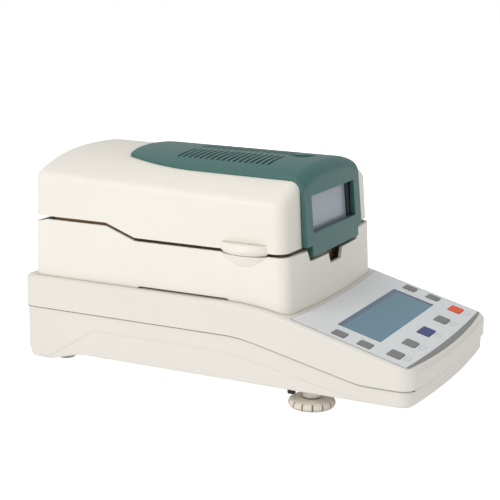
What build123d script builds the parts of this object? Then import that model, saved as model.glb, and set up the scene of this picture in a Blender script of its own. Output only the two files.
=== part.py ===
from build123d import *
import os
from math import cos, radians, sin, sqrt

# Moisture analyzer: a bench balance with a halogen dryer in a hinged lid.
# Millimetres. X to the right, front towards -Y, Z up, and the table at Z = 0.

# Base, outside
BASE_WIDTH = 205
BASE_REAR = 193.5
BASE_FRONT = -187.5
BASE_BOW = 6
BASE_CORNER = 14
BASE_TOP = 89
BASE_BOTTOM = 19.2
EDGE_RADIUS = 4.5
WALL = 3
SPARE = 20
CUT_MARGIN = 1
SEAT_MARGIN = 1

# Sloping control panel: a point on it, its slope, and the bend that leads into it
PANEL_Y = -63.5
PANEL_Z = 84.76
PANEL_SLOPE = 0.265
PANEL_BEND_RADIUS = 230

# Joint line between the upper and the lower shell
PARTING_REAR_Z = 60.4
PARTING_FRONT_Z = 35
PARTING_REAR_BEND_Y = -30.5
PARTING_FRONT_BEND_Y = -142.2
PARTING_REAR_BEND_RADIUS = 150
PARTING_FRONT_BEND_RADIUS = 60
PARTING_STEP = 1.2
LOWER_DRAFT = 1.3
LOWER_EDGE_RADIUS = 3.5
LOWER_INNER_RADIUS = 2

# Deeper rear end of the lower shell, and the shallow arch pressed into its sides
POD_BOTTOM = 10.7
POD_FRONT_Y = BASE_REAR - 28
POD_BLEND_Y = BASE_REAR - 60
ARCH_DEPTH = 1.8
ARCH_RAMP = 7
ARCH_REAR_FOOT_Y = BASE_REAR - 23
ARCH_REAR_TOP_Y = BASE_REAR - 78
ARCH_TOP_Z = 43.3
ARCH_BEND_Y = -17.5
ARCH_FRONT_Y = -138.5
ARCH_FRONT_Z = 21
ARCH_TOP_RADIUS = 12
ARCH_BEND_RADIUS = 150

# Heating chamber housing, measured at its foot and at its rim
HOUSING_FOOT_Z = 88.7
HOUSING_FOOT_HALF = BASE_WIDTH / 2 - 7.4
HOUSING_FOOT_FRONT = -73.1
HOUSING_RIM_HALF = HOUSING_FOOT_HALF - 1.1
HOUSING_RIM_FRONT = -71.5
HOUSING_REAR = BASE_REAR - 8.5
HOUSING_BOW = 4.5
HOUSING_CORNER = 11
RIM_FRONT_Z = 130.8
RIM_REAR_Z = 141.5
RIM_RAMP_FRONT_Y = 75.8
RIM_RAMP_REAR_Y = 105.8
RIM_DROP_Y = HOUSING_REAR - 16
RIM_DROP = 3.5
RIM_BEND_RADIUS = 4
SLOT_REAR_Y = 70
SLOT_FRONT_Y = -16.4
SLOT_HEIGHT = 1.8
SLOT_SLANT = 3
NOTCH_FLOOR_Z = 121
NOTCH_TOP_HALF = 57.5
NOTCH_FLOOR_HALF = 52
FINGER_FLOOR_Z = 111.5
FINGER_TOP_HALF = 15.5
FINGER_FLOOR_HALF = 11.5

# Lid, measured at its lower edge and at its shoulder
LID_GAP = 3.1
LID_EDGE_Z = RIM_FRONT_Z + LID_GAP
LID_EDGE_HALF = HOUSING_RIM_HALF + 0.5
LID_EDGE_FRONT = -69.6
LID_SHOULDER_Z = 181
LID_SHOULDER_HALF = LID_EDGE_HALF - 2.5
LID_SHOULDER_FRONT = -67
LID_REAR = HOUSING_REAR - 0.5
LID_BOW = 2
LID_CORNER = 11
LID_TOP_RADIUS = 9
LID_INNER_RADIUS = 6
CROWN_HALF = 90
CROWN_FRONT_Y = -103.5
CROWN_FRONT_Z = 199.2
CROWN_FRONT_SIDE_Z = 175.7
CROWN_REAR_Y = 216.5
CROWN_REAR_Z = 200.2
CROWN_REAR_SIDE_Z = 185.2
CROWN_FULLNESS = 2.5
CROWN_STEPS = 5

# Grip tab on each side of the lid, and the swelling on the housing below it
GRIP_REAR_Y = -8.5
GRIP_FRONT_Y = -55.5
GRIP_REACH = 10
GRIP_LOW_Z = 131.2
GRIP_HIGH_Z = 140.2
GRIP_BELLY = 3.5
GRIP_LOW_TUCK = 3
GRIP_HIGH_TUCK = 2
SWELL_REACH = 6
SWELL_LOW_Z = 121
SWELL_GAP = 0.6
SWELL_FOOT_REACH = 0.4
SWELL_FOOT_SHORTEN = 12

# Green cover on the lid, with its tongue, window and vents
COVER_HALF = 61
COVER_FACE_Y = -76.1
COVER_FACE_Z = 145
COVER_LEAN = 0.097
COVER_BOW = 1.5
COVER_RAISE = 2.8
COVER_EDGE_Z = 134.5
COVER_FRONT_RADIUS = 12
COVER_STRAIGHT_Y = 26.5
COVER_TIP_HALF = 44
COVER_TIP_Y = 109.5
COVER_REAR_Y = 115.5
COVER_SIDE_BULGE = 5
TONGUE_HALF = 51
TONGUE_LOW_Z = 125
WINDOW_HALF = 47
WINDOW_LOW_Z = 145
WINDOW_HIGH_Z = 177
WINDOW_DEPTH = 5.6
BEZEL_HALF = 54
BEZEL_MARGIN = 4.5
BEZEL_THICK = 1.5
BEZEL_OPENING_HALF = 40
BEZEL_ROOM = 1
PANE_THICK = 2
PANE_FIT = 0.2
VENT_COUNT = 17
VENT_PITCH = 5.6
VENT_WIDTH = 2.2
VENT_LENGTH = 35
VENT_INNER_X = 5
VENT_CENTRE_Y = 17.5
VENT_BACKING_MARGIN = 1.5
TRIANGLE_BASE = 28
TRIANGLE_HEIGHT = 21
TRIANGLE_X = 4
TRIANGLE_Y = -41.5
TRIANGLE_DEPTH = 1.4

# Lid hinge
HINGE_Y = HOUSING_REAR - 6
HINGE_Z = 149
HINGE_X = 55
HINGE_PIN_RADIUS = 2
HINGE_PIN_FIT = 0.05
BARREL_RADIUS = 4
BARREL_LENGTH = 16
BARREL_SIDE_FIT = 0.5
EAR_THICK = 5
EAR_FRONT_Y = HINGE_Y - 6
EAR_TOP_Z = 160
HINGE_NOTCH_TOP_Z = 156
BRACKET_LOW_Z = 108
BRACKET_THICK = 5
BRACKET_WIDTH = 26

# Panel overlay, keys and display
OVERLAY_HALF = BASE_WIDTH / 2 - 5.1
OVERLAY_REAR_Y = -77.2
OVERLAY_REAR_BOW = 4.3
OVERLAY_FRONT_Y = BASE_FRONT + 5.1
OVERLAY_FRONT_BOW = 6.6
OVERLAY_CORNER = 3
OVERLAY_THICK = 0.4
KEY_WIDTH = 12
KEY_LENGTH = 11.8
KEY_CORNER = 1.6
KEY_PROUD = 0.7
KEY_FIT = 0.25
KEY_FLANGE = 1
KEY_FLANGE_THICK = 1.2
KEY_FLANGE_PLAY = 0.1
KEY_STEM_RADIUS = 2.5
KEY_STEM_LENGTH = 2
SIDE_KEY_X = OVERLAY_HALF - 12.2
SIDE_KEY_REAR_Y = -117.5
SIDE_KEY_FRONT_Y = -140.4
FRONT_KEY_Y = -165.1
FRONT_KEY_X = [-79.3, -43.8, -4.2, 38.2, 77.4]
FRONT_KEY_WIDTH = [15, 14.6, 19.8, 16, 15.6]
SWITCH_GAP = 0.6
SWITCH_SIZE = 6
SWITCH_HEIGHT = 3.5
SWITCH_CORNER = 1
BOARD_THICK = 1.6
SCREEN_HALF = 68
SCREEN_REAR_Y = -107.8
SCREEN_FRONT_Y = -147.1
SCREEN_PLATE_THICK = 1.2
SCREEN_FIT = 0.15
LCD_MARGIN = 4
LCD_THICK = 4.5
LCD_RECESS = 0.5
LCD_BOARD_MARGIN = 2
KEYPAD_POST_RADIUS = 2.5
KEYPAD_POST_INSET = 8

# Front levelling feet
FOOT_X = BASE_WIDTH / 2 - 27.5
FOOT_Y = -88.8
FOOT_RADIUS = 20.5
FOOT_SOLE_RADIUS = 16.5
FOOT_HEIGHT = 8
FOOT_TOP_RADIUS = 8
FOOT_SHOULDER_RADIUS = 16.5
FOOT_SHOULDER_Z = 7.4
FOOT_FLUTES = 14
FLUTE_WIDTH = 1.3
FLUTE_REACH = 5
COLLAR_RADIUS = 8
COLLAR_BOTTOM = 9.3
COLLAR_TOP = 34
COLLAR_FLANGE = 3
STUD_RADIUS = 4
STUD_TOP = 33
STUD_FIT = 0.08
STUD_SEAT = 3
STUD_CHAMFER = 0.6

# Rear feet
REAR_FOOT_X = FOOT_X - 20
REAR_FOOT_Y = BASE_REAR - 16
REAR_FOOT_RADIUS = 9
REAR_FOOT_CHAMFER = 1.2

# Transit lock screw under the base
LOCK_X = 14.5 - BASE_WIDTH / 2
LOCK_Y = -75.5
LOCK_HEAD_RADIUS = 3.6
LOCK_HEAD_HEIGHT = 6.2
LOCK_HEAD_ROUND = 1
LOCK_SLOT = 1
LOCK_SHANK_RADIUS = 2
LOCK_SHANK_LENGTH = 14
LOCK_BOSS_HEIGHT = 10
LOCK_FIT = 0.08

# Rear connectors
REAR_PANEL_Z = 38
REAR_PANEL_Y = BASE_REAR - 4
REAR_PANEL_LEFT = -90
REAR_PANEL_RIGHT = 76
REAR_PANEL_HEIGHT = 38
INLET_X = -58
INLET_WIDTH = 27
INLET_FLANGE_WIDTH = 50
INLET_FLANGE_HEIGHT = 33
INLET_FLANGE_THICK = 2.5
INLET_FLANGE_CORNER = 3
INLET_DEPTH = 24
INLET_BODY_HEIGHT = 29
INLET_HOLLOW_WIDTH = 24.4
INLET_HOLLOW_HEIGHT = 16.6
INLET_HOLLOW_DEPTH = 17
INLET_HOLLOW_CORNER = 2
INLET_RAISE = 5
PIN_LENGTH = 12
PIN_WIDTH = 2
PIN_HEIGHT = 4
PIN_SPREAD = 7
PIN_RISE = 2
DRAWER_WIDTH = 22
DRAWER_HEIGHT = 7
DRAWER_DEPTH = 20
DRAWER_DROP = 13
DRAWER_FIT = 0.3
DRAWER_LIP = 1.5
SWITCH_X = -6
ROCKER_FRAME_WIDTH = 15
ROCKER_FRAME_HEIGHT = 21
ROCKER_BEZEL = 2
ROCKER_BEZEL_THICK = 1.6
ROCKER_FRAME_CORNER = 1
ROCKER_BODY_DEPTH = 16
ROCKER_WIDTH = 10.6
ROCKER_HEIGHT = 15.6
ROCKER_THICK = 5
ROCKER_TILT = 9
ROCKER_FIT = 0.9
ROCKER_SIDE_FIT = 0.3
ROCKER_PIVOT = 2
ROCKER_PROUD = 1.2
ROCKER_DIP = 1
ROCKER_AXLE_RADIUS = 1.2
ROCKER_AXLE_REACH = 1
ROCKER_AXLE_FIT = 0.06
PORT_X = 48
PORT_FLANGE_WIDTH = 31
PORT_FLANGE_HEIGHT = 12.6
PORT_FLANGE_CORNER = 1.5
PORT_FLANGE_THICK = 1
PORT_BODY_MARGIN = 1
PORT_SHELL_WIDTH = 16.6
PORT_SHELL_HEIGHT = 8.2
PORT_SHELL_LENGTH = 6.5
PORT_SHELL_WALL = 0.6
PORT_DEPTH = 10
PORT_PIN_PITCH = 2.8
PORT_PIN_RADIUS = 0.5
PORT_PIN_RECESS = 1.5
PORT_SCREW_SPREAD = 12.5
PORT_SCREW_RADIUS = 2.4
PORT_SCREW_LENGTH = 3

# Weighing system
CELL_Y = 17.5
CELL_WIDTH = 24
CELL_HEIGHT = 22
CELL_LENGTH = 130
CELL_BOTTOM = 44
CELL_OVERHANG = 14
CELL_HOLE_RADIUS = 8
CELL_HOLE_SPREAD = 15
CHASSIS_HALF = BASE_WIDTH / 2 - 23.5
CHASSIS_FRONT_Y = -23.5
CHASSIS_REAR_Y = BASE_REAR - 40
CHASSIS_THICK = 4
CHASSIS_LIFT = 3
CHASSIS_POST_RADIUS = 5
CHASSIS_POST_INSET = 8
CHASSIS_REAR_POST_INSET = 40
CHASSIS_CORNER = 8
MOUNT_LENGTH = 30
MOUNT_WIDTH = 30
CARRIER_THICK = 4
CARRIER_LENGTH = 26
SPINDLE_RADIUS = 3
SPINDLE_HOLE_RADIUS = 7
SUPPORT_Z = 106
SUPPORT_HUB_RADIUS = 8
SUPPORT_ARM_WIDTH = 6
SUPPORT_ARM_LENGTH = 38
SUPPORT_ARM_THICK = 3
SUPPORT_SOCKET_DEPTH = 5
SUPPORT_FIT = 0.05
PAN_RADIUS = 50
PAN_HEIGHT = 7
PAN_THICK = 0.8
HOLDER_INNER_RADIUS = 44.5
HOLDER_OUTER_RADIUS = 62
HOLDER_THICK = 1.5
HOLDER_GAP = 0.7
HANDLE_WIDTH = 16
HANDLE_OVERLAP = 1
HANDLE_FRONT_Y = -57.5
RING_OUTER_RADIUS = 62
RING_WALL = 1.6

# Heating chamber lining
TRAY_HALF = HOUSING_RIM_HALF - WALL - 1
TRAY_FRONT = -62.1
TRAY_REAR = HOUSING_REAR - 15.5
TRAY_THICK = 1.5
LINER_HALF = TRAY_HALF - 1
LINER_FRONT = -62
LINER_REAR = TRAY_REAR - 2.5
LINER_CORNER = 9
LINER_THICK = 1.2
LINER_RISE = 6
HOUSING_BOSS_WIDTH = 8
HOUSING_BOSS_LENGTH = 8.6
HOUSING_BOSS_TOP = 107
HOUSING_BOSS_X = 76
HOUSING_BOSS_FRONT_Y = -68
HOUSING_BOSS_REAR_Y = HOUSING_REAR - 6.5

# Heater in the lid
REFLECTOR_Z = 174
REFLECTOR_HALF = LID_SHOULDER_HALF - 11.5
REFLECTOR_FRONT_Y = -53.5
REFLECTOR_REAR_Y = LID_REAR - 33.5
REFLECTOR_THICK = 1.2
REFLECTOR_CORNER = 6
REFLECTOR_POST_RADIUS = 4
REFLECTOR_POST_INSET = 9
LAMP_RADIUS = 45
LAMP_TUBE_RADIUS = 4
LAMP_Z = 167.5
LAMP_LEG_ANGLE = 12
LAMP_LEG_RADIUS = 3.5
CLIP_WIDTH = 6
CLIP_LENGTH = 11
CLIP_FIT = 0.1
FRAME_HALF = 62
FRAME_DEPTH = 16
FRAME_THICK = 1
FRAME_LIP = 5
GLASS_THICK = 3
SENSOR_RADIUS = 1.5
SENSOR_LENGTH = 26
SENSOR_TIP_RADIUS = 1.2
SENSOR_Y = 86.5

# Electronics in the base
MAIN_BOARD_Z = 30
MAIN_BOARD_HALF = 60
MAIN_BOARD_REAR_Y = -37.5
MAIN_BOARD_FRONT_Y = -121.5
MAIN_BOARD_POST_RADIUS = 3
MAIN_BOARD_POST_INSET = 5
BOARD_PART_PLACES = [
    (-38, -63.5), (-12, -63.5), (20, -69.5),
    (-30, -99.5), (8, -101.5), (38, -95.5),
]
BOARD_PART_SIZE = 14
BOARD_PART_HEIGHT = 3
SUPPLY_X = 48
SUPPLY_WIDTH = 60
SUPPLY_LENGTH = 84
SUPPLY_HEIGHT = 26
SUPPLY_CORNER = 2
SUPPLY_REAR_Y = CHASSIS_REAR_Y - 12
SCREW_RADIUS = 2
SCREW_HEAD_RADIUS = 3.5
SCREW_HEAD_HEIGHT = 2.4
FRONT_SCREW_X = 60
FRONT_SCREW_Y = BASE_FRONT + 7.5
REAR_SCREW_X = BASE_WIDTH / 2 - 16.5
REAR_SCREW_Y = BASE_REAR - 80
BASE_SCREW_LENGTH = 24
BOSS_RADIUS = 5.5
HOUSING_SCREW_LENGTH = 25
SCREW_END_ROOM = 2
PAD_Z = 77
SCREW_FIT = 0.1

SLOPE_COS = 1 / sqrt(1 + PANEL_SLOPE**2)
PANEL = Plane(
    origin=(0, PANEL_Y, PANEL_Z),
    x_dir=(1, 0, 0),
    z_dir=(0, -PANEL_SLOPE * SLOPE_COS, SLOPE_COS),
)
LEAN_COS = 1 / sqrt(1 + COVER_LEAN**2)
WINDOW_HEIGHT = (WINDOW_HIGH_Z - WINDOW_LOW_Z) / LEAN_COS
BEZEL_HEIGHT = WINDOW_HEIGHT + 2 * BEZEL_MARGIN
WINDOW_Z = (WINDOW_LOW_Z + WINDOW_HIGH_Z) / 2
COVER_FACE = Plane(
    origin=(0, COVER_FACE_Y + COVER_LEAN * (WINDOW_Z - COVER_FACE_Z), WINDOW_Z),
    x_dir=(1, 0, 0),
    z_dir=(0, -LEAN_COS, COVER_LEAN * LEAN_COS),
)

os.makedirs("parts", exist_ok=True)


def save(part, name):
    """Label a finished piece and write it to its own file."""
    part.label = name
    export_step(part, f"parts/{name}.step")


def triangle_floor_z():
    """Height of the floor of the triangular recess near the front of the cover."""
    front_share = (TRIANGLE_Y - CROWN_FRONT_Y) / (CROWN_REAR_Y - CROWN_FRONT_Y)
    crown_z = CROWN_FRONT_Z + (CROWN_REAR_Z - CROWN_FRONT_Z) * front_share
    return crown_z + COVER_RAISE - TRIANGLE_DEPTH


def blend(low, high, z, low_z, high_z):
    """Value at height z on the straight line through two measured heights."""
    return low + (high - low) * (z - low_z) / (high_z - low_z)


def on_panel(y):
    """Distance up the panel, from its reference point, of a plan position y."""
    return (y - PANEL_Y) / SLOPE_COS


def plan_outline(z, half, front, bow, rear, corner):
    """Rounded plan rectangle at height z whose front edge bows forward."""
    with BuildSketch(Plane.XY.offset(z)) as outline:
        with BuildLine():
            Polyline((half, front), (half, rear), (-half, rear), (-half, front))
            ThreePointArc((-half, front), (0, front - bow), (half, front))
        make_face()
        if corner > 0:
            fillet(outline.vertices(), corner)
    return outline.sketch


def side_region(points, bends=None):
    """Region of the Y-Z plane through the points; bends rounds chosen corners."""
    with BuildSketch(Plane.YZ) as region:
        with BuildLine():
            Polyline(*points, close=True)
        make_face()
        for index, radius in (bends or {}).items():
            fillet(region.vertices().sort_by_distance(points[index])[0], radius)
    return region.sketch


def side_prism(points, bends=None):
    """A side_region run through the whole width of the object."""
    with BuildPart() as prism:
        extrude(side_region(points, bends), amount=BASE_WIDTH, both=True)
    return prism.part


def rim_edges(faces):
    """Edges around a patch of faces, without those shared inside the patch."""
    edges = [edge for face in faces for edge in face.edges()]
    return [edge for edge in edges if sum(edge.is_same(other) for other in edges) == 1]


def upward_faces(part):
    """Faces that look upward, so the top skin of a piece."""
    return part.faces().filter_by(lambda face: face.normal_at().Z > 0.4)


# Base: one block, parted into an upper and a lower shell

def under_top_line(drop):
    """Everything below the top of the base, with that top lowered by drop."""
    top = BASE_TOP - drop
    slope_z = PANEL_Z - drop / SLOPE_COS
    bend_y = PANEL_Y + (top - slope_z) / PANEL_SLOPE
    rear = BASE_REAR + SPARE
    front = BASE_FRONT - BASE_BOW - SPARE
    front_z = slope_z + PANEL_SLOPE * (front - PANEL_Y)
    points = [(rear, -SPARE), (rear, top), (bend_y, top), (front, front_z), (front, -SPARE)]
    return side_prism(points, {2: PANEL_BEND_RADIUS})


def under_parting():
    """Everything below the joint line of the two shells."""
    rear = BASE_REAR + SPARE
    front = BASE_FRONT - BASE_BOW - SPARE
    points = [
        (rear, -SPARE),
        (rear, PARTING_REAR_Z),
        (PARTING_REAR_BEND_Y, PARTING_REAR_Z),
        (PARTING_FRONT_BEND_Y, PARTING_FRONT_Z),
        (front, PARTING_FRONT_Z),
        (front, -SPARE),
    ]
    return side_prism(points, {2: PARTING_REAR_BEND_RADIUS, 3: PARTING_FRONT_BEND_RADIUS})


def base_outline(z, inset):
    return plan_outline(
        z,
        BASE_WIDTH / 2 - inset,
        BASE_FRONT + inset,
        BASE_BOW,
        BASE_REAR - inset,
        BASE_CORNER - inset,
    )


def upper_block(inset, edge):
    """Upper half of the base as a full block, its walls and top moved in by inset."""
    with BuildPart() as block:
        extrude(base_outline(0, inset), amount=BASE_TOP + SPARE)
        add(under_top_line(inset), mode=Mode.INTERSECT)
        fillet(rim_edges(upward_faces(block)), edge)
    return block.part


def above_bottom_line(lift):
    """Everything above the underside of the base, with that underside lifted."""
    rear = BASE_REAR + SPARE
    front = BASE_FRONT - BASE_BOW - SPARE
    high = BASE_TOP + SPARE
    points = [
        (rear, high),
        (rear, POD_BOTTOM + lift),
        (POD_FRONT_Y, POD_BOTTOM + lift),
        (POD_BLEND_Y, BASE_BOTTOM + lift),
        (front, BASE_BOTTOM + lift),
        (front, high),
    ]
    return side_prism(points, {2: SPARE, 3: SPARE})


def lower_block(inset, edge):
    """Lower half of the base as a full block, with draft on its walls."""
    with BuildPart() as block:
        loft([
            base_outline(0, inset + PARTING_STEP + LOWER_DRAFT),
            base_outline(PARTING_REAR_Z + SPARE, inset + PARTING_STEP),
        ])
        add(above_bottom_line(inset), mode=Mode.INTERSECT)
        downward = block.faces().filter_by(lambda face: face.normal_at().Z < -0.8)
        fillet(rim_edges(downward), edge)
        add(under_parting(), mode=Mode.INTERSECT)
    return block.part


def arch_outline(x, grow):
    """Shape of the arch on one side, widened by grow where its ramp begins."""
    points = [
        (ARCH_REAR_FOOT_Y + grow + ARCH_RAMP, 0),
        (ARCH_REAR_FOOT_Y + grow, POD_BOTTOM),
        (ARCH_REAR_TOP_Y + grow / 2, ARCH_TOP_Z + grow),
        (ARCH_BEND_Y - grow / 2, ARCH_TOP_Z + grow),
        (ARCH_FRONT_Y - grow, ARCH_FRONT_Z + grow / 2),
        (ARCH_FRONT_Y - grow - SPARE, 0),
    ]
    with BuildSketch(Plane.YZ.offset(x)) as arch:
        with BuildLine():
            Polyline(*points, close=True)
        make_face()
        for index, radius in ((2, ARCH_TOP_RADIUS), (3, ARCH_BEND_RADIUS)):
            fillet(arch.vertices().sort_by_distance(points[index])[0], radius)
    return arch.sketch


def key_places():
    """Name, plan x, plan y and width of every key."""
    places = []
    for side, name in ((-1, "left"), (1, "right")):
        places.append((f"key_{name}_rear", side * SIDE_KEY_X, SIDE_KEY_REAR_Y, KEY_WIDTH))
        places.append((f"key_{name}_front", side * SIDE_KEY_X, SIDE_KEY_FRONT_Y, KEY_WIDTH))
    for index, (x, width) in enumerate(zip(FRONT_KEY_X, FRONT_KEY_WIDTH)):
        places.append((f"key_row_{index + 1}", x, FRONT_KEY_Y, width))
    return places


KEYS = key_places()
SCREEN_Y = (SCREEN_REAR_Y + SCREEN_FRONT_Y) / 2
SCREEN_LENGTH = (SCREEN_REAR_Y - SCREEN_FRONT_Y) / SLOPE_COS
SWITCH_TOP = WALL + KEY_FLANGE_PLAY + KEY_FLANGE_THICK + KEY_STEM_LENGTH + SWITCH_GAP
KEYPAD_DEPTH = SWITCH_TOP + SWITCH_HEIGHT
KEYPAD_POSTS = [
    (side * (SIDE_KEY_X - KEYPAD_POST_INSET), on_panel(y))
    for side in (-1, 1)
    for y in (
        (SIDE_KEY_REAR_Y + SIDE_KEY_FRONT_Y) / 2,
        (SIDE_KEY_FRONT_Y + FRONT_KEY_Y) / 2,
    )
]
FRONT_SEAT_Z = BASE_BOTTOM + SCREW_HEAD_HEIGHT
REAR_SEAT_Z = FRONT_SEAT_Z + PARTING_REAR_Z - PARTING_FRONT_Z
BASE_SCREWS = [
    (-FRONT_SCREW_X, FRONT_SCREW_Y, FRONT_SEAT_Z),
    (FRONT_SCREW_X, FRONT_SCREW_Y, FRONT_SEAT_Z),
    (-REAR_SCREW_X, REAR_SCREW_Y, REAR_SEAT_Z),
    (REAR_SCREW_X, REAR_SCREW_Y, REAR_SEAT_Z),
]
BASE_SCREW_PLACES = [(x, y) for x, y, seat_z in BASE_SCREWS]
HOUSING_BOSSES = [
    (side * HOUSING_BOSS_X, y)
    for side in (-1, 1)
    for y in (HOUSING_BOSS_FRONT_Y, HOUSING_BOSS_REAR_Y)
]
CHASSIS_POSTS = [
    (side * (CHASSIS_HALF - CHASSIS_POST_INSET), y)
    for side in (-1, 1)
    for y in (CHASSIS_FRONT_Y + CHASSIS_POST_INSET, CHASSIS_REAR_Y - CHASSIS_REAR_POST_INSET)
]
MAIN_BOARD_POSTS = [
    (side * (MAIN_BOARD_HALF - MAIN_BOARD_POST_INSET), y)
    for side in (-1, 1)
    for y in (
        MAIN_BOARD_FRONT_Y + MAIN_BOARD_POST_INSET,
        MAIN_BOARD_REAR_Y - MAIN_BOARD_POST_INSET,
    )
]

with BuildPart() as upper_shell:
    add(upper_block(0, EDGE_RADIUS))
    add(upper_block(WALL, EDGE_RADIUS - WALL / 2), mode=Mode.SUBTRACT)
    with BuildSketch(PANEL.offset(-KEYPAD_DEPTH)):
        with Locations(*KEYPAD_POSTS):
            Circle(KEYPAD_POST_RADIUS)
    extrude(amount=KEYPAD_DEPTH - WALL / 2)
    with BuildSketch(Plane.XY.offset(BASE_BOTTOM + WALL)):
        with Locations(*BASE_SCREW_PLACES):
            Circle(BOSS_RADIUS)
    extrude(until=Until.NEXT)
    with BuildSketch(Plane.XY.offset(PAD_Z)):
        with Locations(*HOUSING_BOSSES):
            Circle(SCREW_HEAD_RADIUS + SEAT_MARGIN)
    extrude(until=Until.NEXT)
    add(under_parting(), mode=Mode.SUBTRACT)
    with BuildSketch(PANEL.offset(SPARE)):
        with Locations((0, on_panel(SCREEN_Y))):
            Rectangle(2 * SCREEN_HALF, SCREEN_LENGTH)
        for name, x, y, width in KEYS:
            with Locations((x, on_panel(y))):
                RectangleRounded(width + 2 * KEY_FIT, KEY_LENGTH + 2 * KEY_FIT, KEY_CORNER)
    extrude(amount=-SPARE - WALL - CUT_MARGIN / 2, mode=Mode.SUBTRACT)
    with Locations((0, CELL_Y, BASE_TOP)):
        Hole(SPINDLE_HOLE_RADIUS, depth=WALL + CUT_MARGIN)
    with BuildSketch(Plane.XY.offset(PAD_Z)):
        with Locations(*HOUSING_BOSSES):
            Circle(SCREW_RADIUS + SCREW_FIT)
    extrude(amount=SPARE, mode=Mode.SUBTRACT)
    for x, y, seat_z in BASE_SCREWS:
        with BuildSketch(Plane.XY.offset(seat_z)):
            with Locations((x, y)):
                Circle(SCREW_RADIUS)
        extrude(amount=BASE_SCREW_LENGTH + SCREW_END_ROOM, mode=Mode.SUBTRACT)
save(upper_shell.part, "upper_shell")

FLOOR_Z = BASE_BOTTOM + WALL
INLET_Z = REAR_PANEL_Z + INLET_RAISE
DRAWER_Z = INLET_Z - DRAWER_DROP

with BuildPart() as lower_shell:
    add(lower_block(0, LOWER_EDGE_RADIUS))
    for side in (-1, 1):
        outer = side * BASE_WIDTH / 2
        inner = side * (BASE_WIDTH / 2 - PARTING_STEP - ARCH_DEPTH)
        loft([arch_outline(outer, ARCH_RAMP), arch_outline(inner, 0)], mode=Mode.SUBTRACT)
    add(lower_block(WALL, LOWER_INNER_RADIUS), mode=Mode.SUBTRACT)
    panel_width = REAR_PANEL_RIGHT - REAR_PANEL_LEFT
    panel_x = (REAR_PANEL_RIGHT + REAR_PANEL_LEFT) / 2
    with Locations((panel_x, REAR_PANEL_Y, REAR_PANEL_Z)):
        Box(panel_width + 2 * WALL, 2 * WALL, REAR_PANEL_HEIGHT + 2 * WALL)
    with Locations((panel_x, REAR_PANEL_Y + SPARE / 2, REAR_PANEL_Z)):
        Box(panel_width, SPARE, REAR_PANEL_HEIGHT, mode=Mode.SUBTRACT)
    with BuildSketch(Plane.XY.offset(BASE_BOTTOM + WALL / 2)):
        with Locations(*BASE_SCREW_PLACES):
            Circle(BOSS_RADIUS)
    extrude(amount=BASE_TOP)
    with BuildSketch(Plane.XY.offset(BASE_BOTTOM + WALL / 2)):
        with Locations(*CHASSIS_POSTS):
            Circle(CHASSIS_POST_RADIUS)
    extrude(amount=WALL / 2 + CHASSIS_LIFT)
    with BuildSketch(Plane.XY.offset(BASE_BOTTOM + WALL / 2)):
        with Locations(*MAIN_BOARD_POSTS):
            Circle(MAIN_BOARD_POST_RADIUS)
    extrude(amount=MAIN_BOARD_Z - BASE_BOTTOM - WALL / 2)
    with BuildSketch(Plane.XY.offset(BASE_BOTTOM + WALL / 2)):
        with Locations((LOCK_X, LOCK_Y)):
            Circle(LOCK_HEAD_RADIUS + SEAT_MARGIN)
    extrude(amount=LOCK_BOSS_HEIGHT)
    add(under_parting(), mode=Mode.INTERSECT)
    with BuildSketch(Plane.XY):
        with Locations(*BASE_SCREW_PLACES):
            Circle(SCREW_RADIUS + SCREW_FIT)
        with Locations((LOCK_X, LOCK_Y)):
            Circle(LOCK_SHANK_RADIUS + LOCK_FIT)
    extrude(amount=BASE_TOP, mode=Mode.SUBTRACT)
    for x, y, seat_z in BASE_SCREWS:
        with BuildSketch(Plane.XY):
            with Locations((x, y)):
                Circle(SCREW_HEAD_RADIUS + 2 * SCREW_FIT)
        extrude(amount=seat_z, mode=Mode.SUBTRACT)
    with BuildSketch(Plane.XY):
        with Locations((-FOOT_X, FOOT_Y), (FOOT_X, FOOT_Y)):
            Circle(COLLAR_RADIUS)
    extrude(amount=FLOOR_Z + CUT_MARGIN, mode=Mode.SUBTRACT)
    with BuildSketch(Plane.XZ.offset(-REAR_PANEL_Y - SPARE)):
        with Locations((INLET_X, REAR_PANEL_Z)):
            Rectangle(INLET_WIDTH, INLET_BODY_HEIGHT)
        with Locations((SWITCH_X, REAR_PANEL_Z)):
            Rectangle(ROCKER_FRAME_WIDTH, ROCKER_FRAME_HEIGHT)
        with Locations((PORT_X, REAR_PANEL_Z)):
            Rectangle(PORT_SHELL_WIDTH, PORT_SHELL_HEIGHT)
        with Locations((PORT_X - PORT_SCREW_SPREAD, REAR_PANEL_Z)):
            Circle(SCREW_RADIUS)
        with Locations((PORT_X + PORT_SCREW_SPREAD, REAR_PANEL_Z)):
            Circle(SCREW_RADIUS)
    extrude(amount=2 * SPARE, mode=Mode.SUBTRACT)
save(lower_shell.part, "lower_shell")


# Heating chamber housing and what lines it

def housing_outline(z, inset):
    half = blend(HOUSING_FOOT_HALF, HOUSING_RIM_HALF, z, HOUSING_FOOT_Z, RIM_FRONT_Z)
    front = blend(HOUSING_FOOT_FRONT, HOUSING_RIM_FRONT, z, HOUSING_FOOT_Z, RIM_FRONT_Z)
    corner = HOUSING_CORNER - inset
    return plan_outline(z, half - inset, front + inset, HOUSING_BOW, HOUSING_REAR - inset, corner)


def housing_block(inset):
    """Housing as a full block, from below its foot to above its rim."""
    with BuildPart() as block:
        loft([
            housing_outline(PANEL_Z - SPARE, inset),
            housing_outline(RIM_REAR_Z + SPARE / 4, inset),
        ])
    return block.part


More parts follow.
